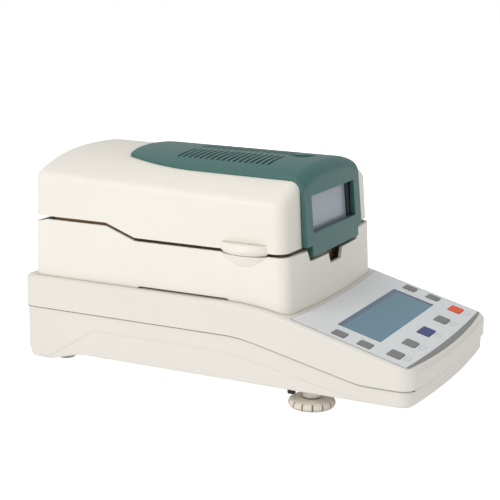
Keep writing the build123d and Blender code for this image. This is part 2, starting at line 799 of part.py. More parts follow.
def above_rim(lift):
    """Everything above the housing's rim line, lifted by lift."""
    rear = BASE_REAR + SPARE
    front = BASE_FRONT
    low = RIM_FRONT_Z + lift
    high = RIM_REAR_Z + lift
    points = [
        (front, low),
        (RIM_RAMP_FRONT_Y, low),
        (RIM_RAMP_REAR_Y, high),
        (rear, high),
        (rear, high + 4 * SPARE),
        (front, high + 4 * SPARE),
    ]
    return side_prism(points, {1: RIM_BEND_RADIUS, 2: RIM_BEND_RADIUS})


def grip_segment(z, reach, side, shorten=0):
    """Plan shape of a grip at height z, which swells out of the side wall."""
    middle = (GRIP_REAR_Y + GRIP_FRONT_Y) / 2
    root = side * (LID_EDGE_HALF - WALL / 2)
    with BuildSketch(Plane.XY.offset(z)) as segment:
        with BuildLine():
            rear = (root, GRIP_REAR_Y - shorten)
            front = (root, GRIP_FRONT_Y + shorten)
            ThreePointArc(rear, (side * (LID_EDGE_HALF + reach), middle), front)
            Line(front, rear)
        make_face()
    return segment.sketch


with BuildPart() as chamber_housing:
    add(housing_block(0))
    for side in (-1, 1):
        swell_top = grip_segment(GRIP_LOW_Z - SWELL_GAP, SWELL_REACH, side)
        swell_foot = grip_segment(SWELL_LOW_Z, SWELL_FOOT_REACH, side, SWELL_FOOT_SHORTEN)
        loft([swell_foot, swell_top])
    add(housing_block(WALL), mode=Mode.SUBTRACT)
    with BuildSketch(Plane.XY.offset(PAD_Z)):
        with Locations(*HOUSING_BOSSES):
            Rectangle(HOUSING_BOSS_WIDTH, HOUSING_BOSS_LENGTH)
    extrude(amount=HOUSING_BOSS_TOP - PAD_Z)
    add(under_top_line(0), mode=Mode.SUBTRACT)
    add(above_rim(0), mode=Mode.SUBTRACT)
    extrude(
        side_region([
            (RIM_DROP_Y, RIM_REAR_Z + CUT_MARGIN),
            (RIM_DROP_Y, RIM_REAR_Z),
            (HOUSING_REAR - WALL, RIM_REAR_Z - RIM_DROP),
            (HOUSING_REAR + CUT_MARGIN, RIM_REAR_Z - RIM_DROP),
            (HOUSING_REAR + CUT_MARGIN, RIM_REAR_Z + CUT_MARGIN),
        ]),
        amount=BASE_WIDTH,
        both=True,
        mode=Mode.SUBTRACT,
    )
    extrude(
        side_region([
            (SLOT_REAR_Y + SLOT_SLANT, BASE_TOP),
            (SLOT_REAR_Y, BASE_TOP + SLOT_HEIGHT),
            (SLOT_FRONT_Y, BASE_TOP + SLOT_HEIGHT),
            (SLOT_FRONT_Y - SLOT_SLANT, BASE_TOP),
        ]),
        amount=BASE_WIDTH,
        both=True,
        mode=Mode.SUBTRACT,
    )
    with BuildSketch(Plane.XZ.offset(-HOUSING_FOOT_FRONT - SPARE)):
        with BuildLine():
            Polyline(
                (-NOTCH_TOP_HALF, RIM_FRONT_Z + CUT_MARGIN),
                (-NOTCH_FLOOR_HALF, NOTCH_FLOOR_Z),
                (-FINGER_TOP_HALF, NOTCH_FLOOR_Z),
                (-FINGER_FLOOR_HALF, FINGER_FLOOR_Z),
                (FINGER_FLOOR_HALF, FINGER_FLOOR_Z),
                (FINGER_TOP_HALF, NOTCH_FLOOR_Z),
                (NOTCH_FLOOR_HALF, NOTCH_FLOOR_Z),
                (NOTCH_TOP_HALF, RIM_FRONT_Z + CUT_MARGIN),
                close=True,
            )
        make_face()
    extrude(amount=2 * SPARE, mode=Mode.SUBTRACT)
    with BuildSketch(Plane.XY.offset(PAD_Z)):
        with Locations(*HOUSING_BOSSES):
            Circle(SCREW_RADIUS)
    extrude(amount=HOUSING_SCREW_LENGTH + SCREW_END_ROOM, mode=Mode.SUBTRACT)
save(chamber_housing.part, "chamber_housing")

with BuildPart() as chamber_floor:
    corner = HOUSING_CORNER - WALL
    extrude(
        plan_outline(BASE_TOP, TRAY_HALF, TRAY_FRONT, HOUSING_BOW, TRAY_REAR, corner),
        amount=TRAY_THICK,
    )
    with Locations((0, CELL_Y, BASE_TOP + TRAY_THICK)):
        Hole(SPINDLE_HOLE_RADIUS)
save(chamber_floor.part, "chamber_floor")

TRAY_TOP = BASE_TOP + TRAY_THICK

with BuildPart() as chamber_liner:
    for inset, mode in ((0, Mode.ADD), (LINER_THICK, Mode.SUBTRACT)):
        extrude(
            plan_outline(
                TRAY_TOP,
                LINER_HALF - inset,
                LINER_FRONT + inset,
                HOUSING_BOW,
                LINER_REAR - inset,
                LINER_CORNER - inset,
            ),
            amount=RIM_REAR_Z + LINER_RISE - TRAY_TOP,
            mode=mode,
        )
    add(above_rim(LINER_RISE), mode=Mode.SUBTRACT)
save(chamber_liner.part, "chamber_liner")


# Lid: shell, green cover and window

def lid_outline(z, inset):
    half = blend(LID_EDGE_HALF, LID_SHOULDER_HALF, z, LID_EDGE_Z, LID_SHOULDER_Z)
    front = blend(LID_EDGE_FRONT, LID_SHOULDER_FRONT, z, LID_EDGE_Z, LID_SHOULDER_Z)
    return plan_outline(z, half - inset, front + inset, LID_BOW, LID_REAR - inset, LID_CORNER - inset)


def crown_section(y, centre_z, side_z):
    """Section of the crowned top at one place along the lid."""
    drop = centre_z - side_z
    shares = [step / (CROWN_STEPS - 1) for step in range(-CROWN_STEPS, CROWN_STEPS + 1)]
    points = [
        (CROWN_HALF * share, centre_z - drop * abs(share) ** CROWN_FULLNESS) for share in shares
    ]
    with BuildSketch(Plane.XZ.offset(-y)) as section:
        with BuildLine():
            Spline(*points)
            Polyline(points[-1], (points[-1][0], 0), (points[0][0], 0), points[0])
        make_face()
    return section.sketch


def under_crown(lift):
    """Everything below the crowned top of the lid, lifted by lift."""
    with BuildPart() as crown:
        loft([
            crown_section(CROWN_FRONT_Y, CROWN_FRONT_Z + lift, CROWN_FRONT_SIDE_Z + lift),
            crown_section(CROWN_REAR_Y, CROWN_REAR_Z + lift, CROWN_REAR_SIDE_Z + lift),
        ])
    return crown.part


def lid_block(inset, edge):
    """Lid as a full block, its walls and top moved in by inset."""
    with BuildPart() as block:
        loft([
            lid_outline(TONGUE_LOW_Z - SPARE, inset),
            lid_outline(CROWN_FRONT_Z + SPARE / 2, inset),
        ])
        add(under_crown(-inset), mode=Mode.INTERSECT)
        fillet(rim_edges(upward_faces(block)), edge)
    return block.part


LID_CORE = lid_block(WALL / 2, LID_INNER_RADIUS)
VENT_BANKS = [
    (side * (VENT_INNER_X + VENT_LENGTH / 2), VENT_CENTRE_Y) for side in (-1, 1)
]
REFLECTOR_POSTS = [
    (side * (REFLECTOR_HALF - REFLECTOR_POST_INSET), y)
    for side in (-1, 1)
    for y in (REFLECTOR_FRONT_Y + REFLECTOR_POST_INSET, REFLECTOR_REAR_Y - REFLECTOR_POST_INSET)
]
EAR_INNER_X = HINGE_X - BARREL_LENGTH / 2 - BARREL_SIDE_FIT - EAR_THICK
EAR_OUTER_X = HINGE_X + BARREL_LENGTH / 2 + BARREL_SIDE_FIT

with BuildPart() as lid_fixings:
    with BuildSketch(Plane.XY.offset(REFLECTOR_Z + REFLECTOR_THICK)):
        with Locations(*REFLECTOR_POSTS):
            Circle(REFLECTOR_POST_RADIUS)
    extrude(amount=4 * SPARE)
    for side in (-1, 1):
        for ear_x in (EAR_INNER_X, EAR_OUTER_X):
            low = min(side * ear_x, side * (ear_x + EAR_THICK))
            with BuildSketch(Plane.YZ.offset(low)):
                with BuildLine():
                    Polyline(
                        (EAR_FRONT_Y, 0),
                        (LID_REAR, 0),
                        (LID_REAR, EAR_TOP_Z + EAR_THICK),
                        (EAR_FRONT_Y, EAR_TOP_Z),
                        close=True,
                    )
                make_face()
            extrude(amount=EAR_THICK)
    add(LID_CORE, mode=Mode.INTERSECT)

with BuildPart() as lid_shell:
    add(lid_block(0, LID_TOP_RADIUS))
    add(lid_block(WALL, LID_INNER_RADIUS), mode=Mode.SUBTRACT)
    add(lid_fixings.part)
    add(above_rim(LID_GAP), mode=Mode.INTERSECT)
    for side in (-1, 1):
        low = grip_segment(GRIP_LOW_Z, GRIP_REACH - GRIP_LOW_TUCK, side, GRIP_LOW_TUCK)
        middle = grip_segment(GRIP_LOW_Z + GRIP_BELLY, GRIP_REACH, side)
        high = grip_segment(GRIP_HIGH_Z, GRIP_REACH - GRIP_HIGH_TUCK, side, GRIP_HIGH_TUCK / 2)
        loft([low, middle])
        loft([middle, high])
    with BuildSketch(COVER_FACE.offset(-SPARE)):
        Rectangle(2 * (BEZEL_HALF + BEZEL_ROOM), BEZEL_HEIGHT + 2 * BEZEL_ROOM)
    extrude(amount=2 * SPARE, mode=Mode.SUBTRACT)
    with BuildSketch(Plane.XY.offset(REFLECTOR_Z + REFLECTOR_THICK)):
        with Locations(*VENT_BANKS):
            Rectangle(
                VENT_LENGTH + 2 * VENT_BACKING_MARGIN,
                VENT_COUNT * VENT_PITCH + 2 * VENT_BACKING_MARGIN,
            )
    extrude(amount=2 * SPARE, mode=Mode.SUBTRACT)
    for side in (-1, 1):
        notch_height = HINGE_NOTCH_TOP_Z - TONGUE_LOW_Z
        notch_width = BARREL_LENGTH + 2 * BARREL_SIDE_FIT
        with Locations((side * HINGE_X, LID_REAR, HINGE_NOTCH_TOP_Z - notch_height / 2)):
            Box(notch_width, 2 * SPARE, notch_height, mode=Mode.SUBTRACT)
        with BuildSketch(Plane.YZ.offset(side * HINGE_X - BARREL_LENGTH)):
            with Locations((HINGE_Y, HINGE_Z)):
                Circle(HINGE_PIN_RADIUS)
        extrude(amount=2 * BARREL_LENGTH, mode=Mode.SUBTRACT)
save(lid_shell.part, "lid_shell")


def cover_outline(z):
    """Plan of the cover's front face at height z, wider than the cover itself."""
    front = COVER_FACE_Y + COVER_LEAN * (z - COVER_FACE_Z) + COVER_BOW
    return plan_outline(z, COVER_HALF + SPARE, front, COVER_BOW, COVER_REAR_Y + SPARE, 0)


def cover_plan():
    """Plan shape of the cover: straight sides, then curved in to two rear tips."""
    front = COVER_FACE_Y - SPARE
    bend_y = (COVER_STRAIGHT_Y + COVER_TIP_Y) / 2
    bend_x = (COVER_HALF + COVER_TIP_HALF) / 2 + COVER_SIDE_BULGE
    with BuildSketch(Plane.XY) as plan:
        with BuildLine():
            Polyline((-COVER_HALF, COVER_STRAIGHT_Y), (-COVER_HALF, front),
                     (COVER_HALF, front), (COVER_HALF, COVER_STRAIGHT_Y))
            ThreePointArc(
                (COVER_HALF, COVER_STRAIGHT_Y), (bend_x, bend_y), (COVER_TIP_HALF, COVER_TIP_Y)
            )
            ThreePointArc(
                (COVER_TIP_HALF, COVER_TIP_Y), (0, COVER_REAR_Y), (-COVER_TIP_HALF, COVER_TIP_Y)
            )
            ThreePointArc(
                (-COVER_TIP_HALF, COVER_TIP_Y), (-bend_x, bend_y), (-COVER_HALF, COVER_STRAIGHT_Y)
            )
        make_face()
    return plan.sketch


with BuildPart() as lid_cover:
    loft([cover_outline(TONGUE_LOW_Z), cover_outline(CROWN_FRONT_Z + SPARE / 2)])
    add(under_crown(COVER_RAISE), mode=Mode.INTERSECT)
    top_edges = ShapeList(rim_edges(upward_faces(lid_cover)))
    fillet(top_edges.sort_by(lambda edge: edge.center().Y)[0], COVER_FRONT_RADIUS)
    extrude(cover_plan(), amount=BASE_WIDTH + SPARE, mode=Mode.INTERSECT)
    for side in (-1, 1):
        tongue_gap = COVER_HALF - TONGUE_HALF + CUT_MARGIN
        with Locations((side * (TONGUE_HALF + tongue_gap / 2), COVER_FACE_Y, COVER_EDGE_Z - SPARE)):
            Box(tongue_gap, 4 * SPARE, 2 * SPARE, mode=Mode.SUBTRACT)
    add(lid_block(0, LID_TOP_RADIUS), mode=Mode.SUBTRACT)
    with BuildSketch(COVER_FACE.offset(-SPARE)):
        Rectangle(2 * WINDOW_HALF, WINDOW_HEIGHT)
    extrude(amount=2 * SPARE, mode=Mode.SUBTRACT)
    with BuildSketch(COVER_FACE.offset(-WINDOW_DEPTH)):
        Rectangle(2 * BEZEL_HALF, BEZEL_HEIGHT)
    extrude(amount=-SPARE, mode=Mode.SUBTRACT)
    with BuildSketch(Plane.XY.offset(REFLECTOR_Z)):
        with Locations(*VENT_BANKS):
            with GridLocations(0, VENT_PITCH, 1, VENT_COUNT):
                Rectangle(VENT_LENGTH, VENT_WIDTH)
    extrude(amount=2 * SPARE, mode=Mode.SUBTRACT)
    with BuildSketch(Plane.XY.offset(triangle_floor_z())):
        with BuildLine():
            Polyline(
                (TRIANGLE_X - TRIANGLE_BASE / 2, TRIANGLE_Y - TRIANGLE_HEIGHT / 3),
                (TRIANGLE_X + TRIANGLE_BASE / 2, TRIANGLE_Y - TRIANGLE_HEIGHT / 3),
                (TRIANGLE_X, TRIANGLE_Y + 2 * TRIANGLE_HEIGHT / 3),
                close=True,
            )
        make_face()
    extrude(amount=SPARE, mode=Mode.SUBTRACT)
save(lid_cover.part, "lid_cover")

with BuildPart() as window_bezel:
    with BuildSketch(COVER_FACE.offset(-WINDOW_DEPTH)):
        Rectangle(2 * (BEZEL_HALF - PANE_FIT), BEZEL_HEIGHT - 2 * PANE_FIT)
        Rectangle(2 * BEZEL_OPENING_HALF, BEZEL_HEIGHT - 2 * BEZEL_THICK, mode=Mode.SUBTRACT)
    extrude(amount=-BEZEL_THICK)
save(window_bezel.part, "window_bezel")

with BuildPart() as window_pane:
    with BuildSketch(COVER_FACE.offset(-WINDOW_DEPTH - BEZEL_THICK)):
        Rectangle(2 * (BEZEL_HALF - PANE_FIT), BEZEL_HEIGHT - 2 * PANE_FIT)
    extrude(amount=-PANE_THICK)
save(window_pane.part, "window_pane")

with BuildPart() as hinge_pins:
    for side in (-1, 1):
        with BuildSketch(Plane.YZ.offset(side * HINGE_X - BARREL_LENGTH / 2 - EAR_THICK)):
            with Locations((HINGE_Y, HINGE_Z)):
                Circle(HINGE_PIN_RADIUS)
        extrude(amount=BARREL_LENGTH + 2 * EAR_THICK)
save(hinge_pins.part, "hinge_pins")

with BuildPart() as hinge_brackets:
    rear = HOUSING_REAR - WALL
    for side in (-1, 1):
        with BuildSketch(Plane.YZ.offset(side * HINGE_X - BARREL_LENGTH / 2)):
            with Locations((HINGE_Y, HINGE_Z)):
                Circle(BARREL_RADIUS)
            with BuildLine():
                Polyline(
                    (rear - BRACKET_THICK, BRACKET_LOW_Z),
                    (rear, BRACKET_LOW_Z),
                    (rear, HINGE_Z),
                    (rear - BRACKET_THICK, HINGE_Z),
                    close=True,
                )
            make_face()
            with Locations((HINGE_Y, HINGE_Z)):
                Circle(HINGE_PIN_RADIUS + HINGE_PIN_FIT, mode=Mode.SUBTRACT)
        extrude(amount=BARREL_LENGTH)
        pad_height = RIM_REAR_Z - 2 * RIM_DROP - BRACKET_LOW_Z
        with Locations((side * HINGE_X, rear - BRACKET_THICK / 2, BRACKET_LOW_Z + pad_height / 2)):
            Box(BRACKET_WIDTH, BRACKET_THICK, pad_height)
save(hinge_brackets.part, "hinge_brackets")


# Heater in the lid

with BuildPart() as reflector_plate:
    length = REFLECTOR_REAR_Y - REFLECTOR_FRONT_Y
    centre_y = (REFLECTOR_REAR_Y + REFLECTOR_FRONT_Y) / 2
    with BuildSketch(Plane.XY.offset(REFLECTOR_Z)):
        with Locations((0, centre_y)):
            RectangleRounded(2 * REFLECTOR_HALF, length, REFLECTOR_CORNER)
        with Locations(*VENT_BANKS):
            with GridLocations(0, 2 * VENT_PITCH, 1, VENT_COUNT // 2):
                SlotOverall(VENT_LENGTH - 2 * VENT_INNER_X, VENT_PITCH, mode=Mode.SUBTRACT)
    extrude(amount=REFLECTOR_THICK)
save(reflector_plate.part, "reflector_plate")

with BuildPart() as glass_frame:
    for half, mode in ((FRAME_HALF, Mode.ADD), (FRAME_HALF - FRAME_THICK, Mode.SUBTRACT)):
        with BuildSketch(Plane.XY.offset(REFLECTOR_Z)):
            with Locations((0, CELL_Y)):
                Rectangle(2 * half, 2 * half)
        extrude(amount=-FRAME_DEPTH, mode=mode)
    with BuildSketch(Plane.XY.offset(REFLECTOR_Z - FRAME_DEPTH)):
        with Locations((0, CELL_Y)):
            Rectangle(2 * FRAME_HALF, 2 * FRAME_HALF)
            lip_half = FRAME_HALF - FRAME_LIP
            Rectangle(2 * lip_half, 2 * lip_half, mode=Mode.SUBTRACT)
    extrude(amount=FRAME_THICK)
save(glass_frame.part, "glass_frame")

with BuildPart() as lamp_glass:
    with BuildSketch(Plane.XY.offset(REFLECTOR_Z - FRAME_DEPTH + FRAME_THICK)):
        with Locations((0, CELL_Y)):
            glass_half = FRAME_HALF - FRAME_THICK - PANE_FIT
            Rectangle(2 * glass_half, 2 * glass_half)
    extrude(amount=GLASS_THICK)
save(lamp_glass.part, "lamp_glass")

LAMP_CENTRE = Plane(origin=(0, CELL_Y, LAMP_Z))

with BuildPart() as halogen_lamp:
    with Locations(LAMP_CENTRE):
        Torus(LAMP_RADIUS, LAMP_TUBE_RADIUS)
    with BuildSketch(LAMP_CENTRE):
        with PolarLocations(LAMP_RADIUS, 2, start_angle=90 - LAMP_LEG_ANGLE,
                            angular_range=2 * LAMP_LEG_ANGLE, endpoint=True):
            Circle(LAMP_LEG_RADIUS)
    extrude(amount=REFLECTOR_Z - LAMP_Z)
save(halogen_lamp.part, "halogen_lamp")

with BuildPart() as lamp_clips:
    with BuildSketch(Plane.XY.offset(REFLECTOR_Z)):
        with Locations((0, CELL_Y)):
            with PolarLocations(LAMP_RADIUS, 3, start_angle=-90):
                Rectangle(CLIP_LENGTH, CLIP_WIDTH)
    extrude(amount=LAMP_Z - REFLECTOR_Z)
    with Locations(LAMP_CENTRE):
        Torus(LAMP_RADIUS, LAMP_TUBE_RADIUS + CLIP_FIT, mode=Mode.SUBTRACT)
save(lamp_clips.part, "lamp_clips")

with BuildPart() as temperature_sensor:
    with BuildSketch(Plane.XY.offset(REFLECTOR_Z)):
        with Locations((0, SENSOR_Y)):
            Circle(SENSOR_RADIUS)
    extrude(amount=-SENSOR_LENGTH)
    fillet(temperature_sensor.faces().sort_by(Axis.Z)[0].edges(), SENSOR_TIP_RADIUS)
    with BuildSketch(Plane.XY.offset(REFLECTOR_Z)):
        with Locations((0, SENSOR_Y)):
            RegularPolygon(2 * SENSOR_RADIUS, 6)
    extrude(amount=-2 * SENSOR_RADIUS)
save(temperature_sensor.part, "temperature_sensor")


# Control panel: overlay, keys, display and their boards

with BuildPart() as keypad_overlay:
    rear = on_panel(OVERLAY_REAR_Y)
    front = on_panel(OVERLAY_FRONT_Y)
    with BuildSketch(PANEL):
        with BuildLine():
            Line((-OVERLAY_HALF, rear), (-OVERLAY_HALF, front))
            ThreePointArc(
                (-OVERLAY_HALF, front), (0, front - OVERLAY_FRONT_BOW), (OVERLAY_HALF, front)
            )
            Line((OVERLAY_HALF, front), (OVERLAY_HALF, rear))
            ThreePointArc(
                (OVERLAY_HALF, rear), (0, rear - OVERLAY_REAR_BOW), (-OVERLAY_HALF, rear)
            )
        outline = make_face()
        fillet(outline.vertices(), OVERLAY_CORNER)
        with Locations((0, on_panel(SCREEN_Y))):
            Rectangle(2 * SCREEN_HALF, SCREEN_LENGTH, mode=Mode.SUBTRACT)
        for name, x, y, width in KEYS:
            with Locations((x, on_panel(y))):
                RectangleRounded(
                    width + 2 * KEY_FIT, KEY_LENGTH + 2 * KEY_FIT, KEY_CORNER, mode=Mode.SUBTRACT
                )
    extrude(amount=OVERLAY_THICK)
save(keypad_overlay.part, "keypad_overlay")

FLANGE_TOP = -WALL - KEY_FLANGE_PLAY
for name, x, y, width in KEYS:
    with BuildPart() as key:
        with BuildSketch(PANEL.offset(FLANGE_TOP)):
            with Locations((x, on_panel(y))):
                RectangleRounded(width, KEY_LENGTH, KEY_CORNER)
        extrude(amount=OVERLAY_THICK + KEY_PROUD - FLANGE_TOP)
        fillet(key.faces().sort_by(Axis.Z)[-1].edges(), KEY_PROUD / 2)
        with BuildSketch(PANEL.offset(FLANGE_TOP)):
            with Locations((x, on_panel(y))):
                Rectangle(width + 2 * KEY_FLANGE, KEY_LENGTH + 2 * KEY_FLANGE)
        extrude(amount=-KEY_FLANGE_THICK)
        with BuildSketch(PANEL.offset(FLANGE_TOP - KEY_FLANGE_THICK)):
            with Locations((x, on_panel(y))):
                Circle(KEY_STEM_RADIUS)
        extrude(amount=-KEY_STEM_LENGTH)
    save(key.part, name)

with BuildPart() as key_switches:
    with BuildSketch(PANEL.offset(-SWITCH_TOP)):
        for name, x, y, width in KEYS:
            with Locations((x, on_panel(y))):
                RectangleRounded(SWITCH_SIZE, SWITCH_SIZE, SWITCH_CORNER)
    extrude(amount=-SWITCH_HEIGHT)
save(key_switches.part, "key_switches")

with BuildPart() as keypad_board:
    rear = on_panel(SIDE_KEY_REAR_Y) + KEY_LENGTH
    front = on_panel(FRONT_KEY_Y) - SWITCH_SIZE / 2 - BOARD_THICK
    with BuildSketch(PANEL.offset(-KEYPAD_DEPTH)):
        with Locations((0, (rear + front) / 2)):
            Rectangle(2 * (SIDE_KEY_X + SWITCH_SIZE), rear - front)
    extrude(amount=-BOARD_THICK)
save(keypad_board.part, "keypad_board")

with BuildPart() as display_window:
    with BuildSketch(PANEL.offset(OVERLAY_THICK)):
        with Locations((0, on_panel(SCREEN_Y))):
            Rectangle(2 * (SCREEN_HALF - SCREEN_FIT), SCREEN_LENGTH - 2 * SCREEN_FIT)
    extrude(amount=-SCREEN_PLATE_THICK)
save(display_window.part, "display_window")

with BuildPart() as lcd_module:
    with BuildSketch(PANEL.offset(-WALL)):
        with Locations((0, on_panel(SCREEN_Y))):
            Rectangle(2 * (SCREEN_HALF + LCD_MARGIN), SCREEN_LENGTH + 2 * LCD_MARGIN)
    extrude(amount=-LCD_THICK)
    with BuildSketch(PANEL.offset(-WALL)):
        with Locations((0, on_panel(SCREEN_Y))):
            Rectangle(2 * SCREEN_HALF, SCREEN_LENGTH)
    extrude(amount=-LCD_RECESS, mode=Mode.SUBTRACT)
save(lcd_module.part, "lcd_module")

with BuildPart() as lcd_board:
    margin = LCD_MARGIN + LCD_BOARD_MARGIN
    with BuildSketch(PANEL.offset(-WALL - LCD_THICK)):
        with Locations((0, on_panel(SCREEN_Y))):
            Rectangle(2 * (SCREEN_HALF + margin), SCREEN_LENGTH + 2 * LCD_MARGIN)
    extrude(amount=-BOARD_THICK)
save(lcd_board.part, "lcd_board")


# Feet

for side, name in ((-1, "left"), (1, "right")):
    centre = (side * FOOT_X, FOOT_Y, 0)
    with BuildPart() as foot_disc:
        with BuildSketch(Plane(origin=centre, x_dir=(1, 0, 0), z_dir=(0, -1, 0))):
            with BuildLine():
                shoulder = (FOOT_SHOULDER_RADIUS, FOOT_SHOULDER_Z)
                Polyline((0, FOOT_HEIGHT), (0, 0), (FOOT_SOLE_RADIUS, 0))
                ThreePointArc(
                    (FOOT_SOLE_RADIUS, 0), (FOOT_RADIUS, FOOT_HEIGHT / 2), shoulder
                )
                Polyline(shoulder, (FOOT_TOP_RADIUS, FOOT_HEIGHT), (0, FOOT_HEIGHT))
            make_face()
        revolve(axis=Axis(centre, (0, 0, 1)))
        with BuildSketch(Plane(origin=centre)):
            with PolarLocations(FOOT_RADIUS, FOOT_FLUTES):
                Rectangle(FLUTE_REACH, FLUTE_WIDTH)
        extrude(amount=FOOT_HEIGHT, mode=Mode.SUBTRACT)
        with Locations((side * FOOT_X, FOOT_Y, FOOT_HEIGHT)):
            Hole(STUD_RADIUS + STUD_FIT, depth=FOOT_HEIGHT - STUD_SEAT)
    save(foot_disc.part, f"foot_disc_{name}")

    with BuildPart() as foot_stud:
        with BuildSketch(Plane.XY.offset(STUD_SEAT)):
            with Locations((side * FOOT_X, FOOT_Y)):
                Circle(STUD_RADIUS)
        extrude(amount=STUD_TOP - STUD_SEAT)
        chamfer(foot_stud.faces().sort_by(Axis.Z)[-1].edges(), STUD_CHAMFER)
    save(foot_stud.part, f"foot_stud_{name}")

with BuildPart() as foot_collars:
    with BuildSketch(Plane.XY.offset(COLLAR_BOTTOM)):
        with Locations((-FOOT_X, FOOT_Y), (FOOT_X, FOOT_Y)):
            Circle(COLLAR_RADIUS)
    extrude(amount=COLLAR_TOP - COLLAR_BOTTOM)
    with BuildSketch(Plane.XY.offset(FLOOR_Z)):
        with Locations((-FOOT_X, FOOT_Y), (FOOT_X, FOOT_Y)):
            Circle(COLLAR_RADIUS + COLLAR_FLANGE)
    extrude(amount=COLLAR_FLANGE)
    with Locations((-FOOT_X, FOOT_Y, COLLAR_TOP), (FOOT_X, FOOT_Y, COLLAR_TOP)):
        Hole(STUD_RADIUS + STUD_FIT)
save(foot_collars.part, "foot_collars")

with BuildPart() as rear_feet:
    with BuildSketch(Plane.XY):
        with Locations((-REAR_FOOT_X, REAR_FOOT_Y), (REAR_FOOT_X, REAR_FOOT_Y)):
            Circle(REAR_FOOT_RADIUS)
    extrude(amount=POD_BOTTOM)
    chamfer(rear_feet.edges().group_by(Axis.Z)[0], REAR_FOOT_CHAMFER)
save(rear_feet.part, "rear_feet")

with BuildPart() as transit_screw:
    with BuildSketch(Plane.XY.offset(BASE_BOTTOM)):
        with Locations((LOCK_X, LOCK_Y)):
            Circle(LOCK_HEAD_RADIUS)
    extrude(amount=-LOCK_HEAD_HEIGHT)
    fillet(transit_screw.faces().sort_by(Axis.Z)[0].edges(), LOCK_HEAD_ROUND)
    with Locations((LOCK_X, LOCK_Y, BASE_BOTTOM - LOCK_HEAD_HEIGHT + LOCK_SLOT / 2)):
        Box(2 * LOCK_HEAD_RADIUS, LOCK_SLOT, LOCK_SLOT, mode=Mode.SUBTRACT)
    with BuildSketch(Plane.XY.offset(BASE_BOTTOM)):
        with Locations((LOCK_X, LOCK_Y)):
            Circle(LOCK_SHANK_RADIUS)
    extrude(amount=LOCK_SHANK_LENGTH)
save(transit_screw.part, "transit_screw")


# Rear connectors, all seated on the recessed rear panel

REAR_SEAT = Plane(origin=(0, REAR_PANEL_Y, 0), x_dir=(1, 0, 0), z_dir=(0, -1, 0))

with BuildPart() as power_inlet:
    with BuildSketch(REAR_SEAT):
        with Locations((INLET_X, REAR_PANEL_Z)):
            RectangleRounded(INLET_FLANGE_WIDTH, INLET_FLANGE_HEIGHT, INLET_FLANGE_CORNER)
    extrude(amount=-INLET_FLANGE_THICK)
    with BuildSketch(REAR_SEAT):
        with Locations((INLET_X, REAR_PANEL_Z)):
            Rectangle(INLET_WIDTH, INLET_BODY_HEIGHT)
    extrude(amount=INLET_DEPTH)
    with BuildSketch(REAR_SEAT.offset(-INLET_FLANGE_THICK)):
        with Locations((INLET_X, INLET_Z)):
            RectangleRounded(INLET_HOLLOW_WIDTH, INLET_HOLLOW_HEIGHT, INLET_HOLLOW_CORNER)
    extrude(amount=INLET_HOLLOW_DEPTH, mode=Mode.SUBTRACT)
    with BuildSketch(REAR_SEAT.offset(-INLET_FLANGE_THICK)):
        with Locations((INLET_X, DRAWER_Z)):
            Rectangle(DRAWER_WIDTH + 2 * DRAWER_FIT, DRAWER_HEIGHT + 2 * DRAWER_FIT)
    extrude(amount=DRAWER_DEPTH + DRAWER_FIT, mode=Mode.SUBTRACT)
save(power_inlet.part, "power_inlet")

with BuildPart() as inlet_pins:
    with BuildSketch(REAR_SEAT.offset(INLET_HOLLOW_DEPTH - INLET_FLANGE_THICK)):
        with Locations(
            (INLET_X - PIN_SPREAD, INLET_Z - PIN_RISE),
            (INLET_X, INLET_Z + PIN_RISE),
            (INLET_X + PIN_SPREAD, INLET_Z - PIN_RISE),
        ):
            Rectangle(PIN_WIDTH, PIN_HEIGHT)
    extrude(amount=-PIN_LENGTH)
save(inlet_pins.part, "inlet_pins")

with BuildPart() as fuse_drawer:
    with BuildSketch(REAR_SEAT.offset(-INLET_FLANGE_THICK)):
        with Locations((INLET_X, DRAWER_Z)):
            Rectangle(DRAWER_WIDTH, DRAWER_HEIGHT)
    extrude(amount=DRAWER_DEPTH)
    with BuildSketch(REAR_SEAT.offset(-INLET_FLANGE_THICK)):
        with Locations((INLET_X, DRAWER_Z)):
            Rectangle(DRAWER_WIDTH / 3, DRAWER_HEIGHT / 2)
    extrude(amount=-DRAWER_LIP)
save(fuse_drawer.part, "fuse_drawer")

ROCKER_PIVOT_Y = REAR_PANEL_Y + ROCKER_BEZEL_THICK - ROCKER_PIVOT
with BuildPart() as rocker_frame:
    with BuildSketch(REAR_SEAT):
        with Locations((SWITCH_X, REAR_PANEL_Z)):
            RectangleRounded(
                ROCKER_FRAME_WIDTH + 2 * ROCKER_BEZEL,
                ROCKER_FRAME_HEIGHT + 2 * ROCKER_BEZEL,
                ROCKER_FRAME_CORNER,
            )
    extrude(amount=-ROCKER_BEZEL_THICK)
    with BuildSketch(REAR_SEAT):
        with Locations((SWITCH_X, REAR_PANEL_Z)):
            Rectangle(ROCKER_FRAME_WIDTH, ROCKER_FRAME_HEIGHT)
    extrude(amount=ROCKER_BODY_DEPTH)
    with BuildSketch(REAR_SEAT.offset(-ROCKER_BEZEL_THICK)):
        with Locations((SWITCH_X, REAR_PANEL_Z)):
            Rectangle(ROCKER_WIDTH + 2 * ROCKER_SIDE_FIT, ROCKER_HEIGHT + 2 * ROCKER_FIT)
    extrude(amount=ROCKER_BODY_DEPTH - ROCKER_THICK, mode=Mode.SUBTRACT)
    with BuildSketch(Plane.YZ.offset(SWITCH_X - ROCKER_WIDTH / 2 - ROCKER_AXLE_REACH)):
        with Locations((ROCKER_PIVOT_Y, REAR_PANEL_Z)):
            Circle(ROCKER_AXLE_RADIUS + ROCKER_AXLE_FIT)
    extrude(amount=ROCKER_WIDTH + 2 * ROCKER_AXLE_REACH, mode=Mode.SUBTRACT)
save(rocker_frame.part, "rocker_frame")

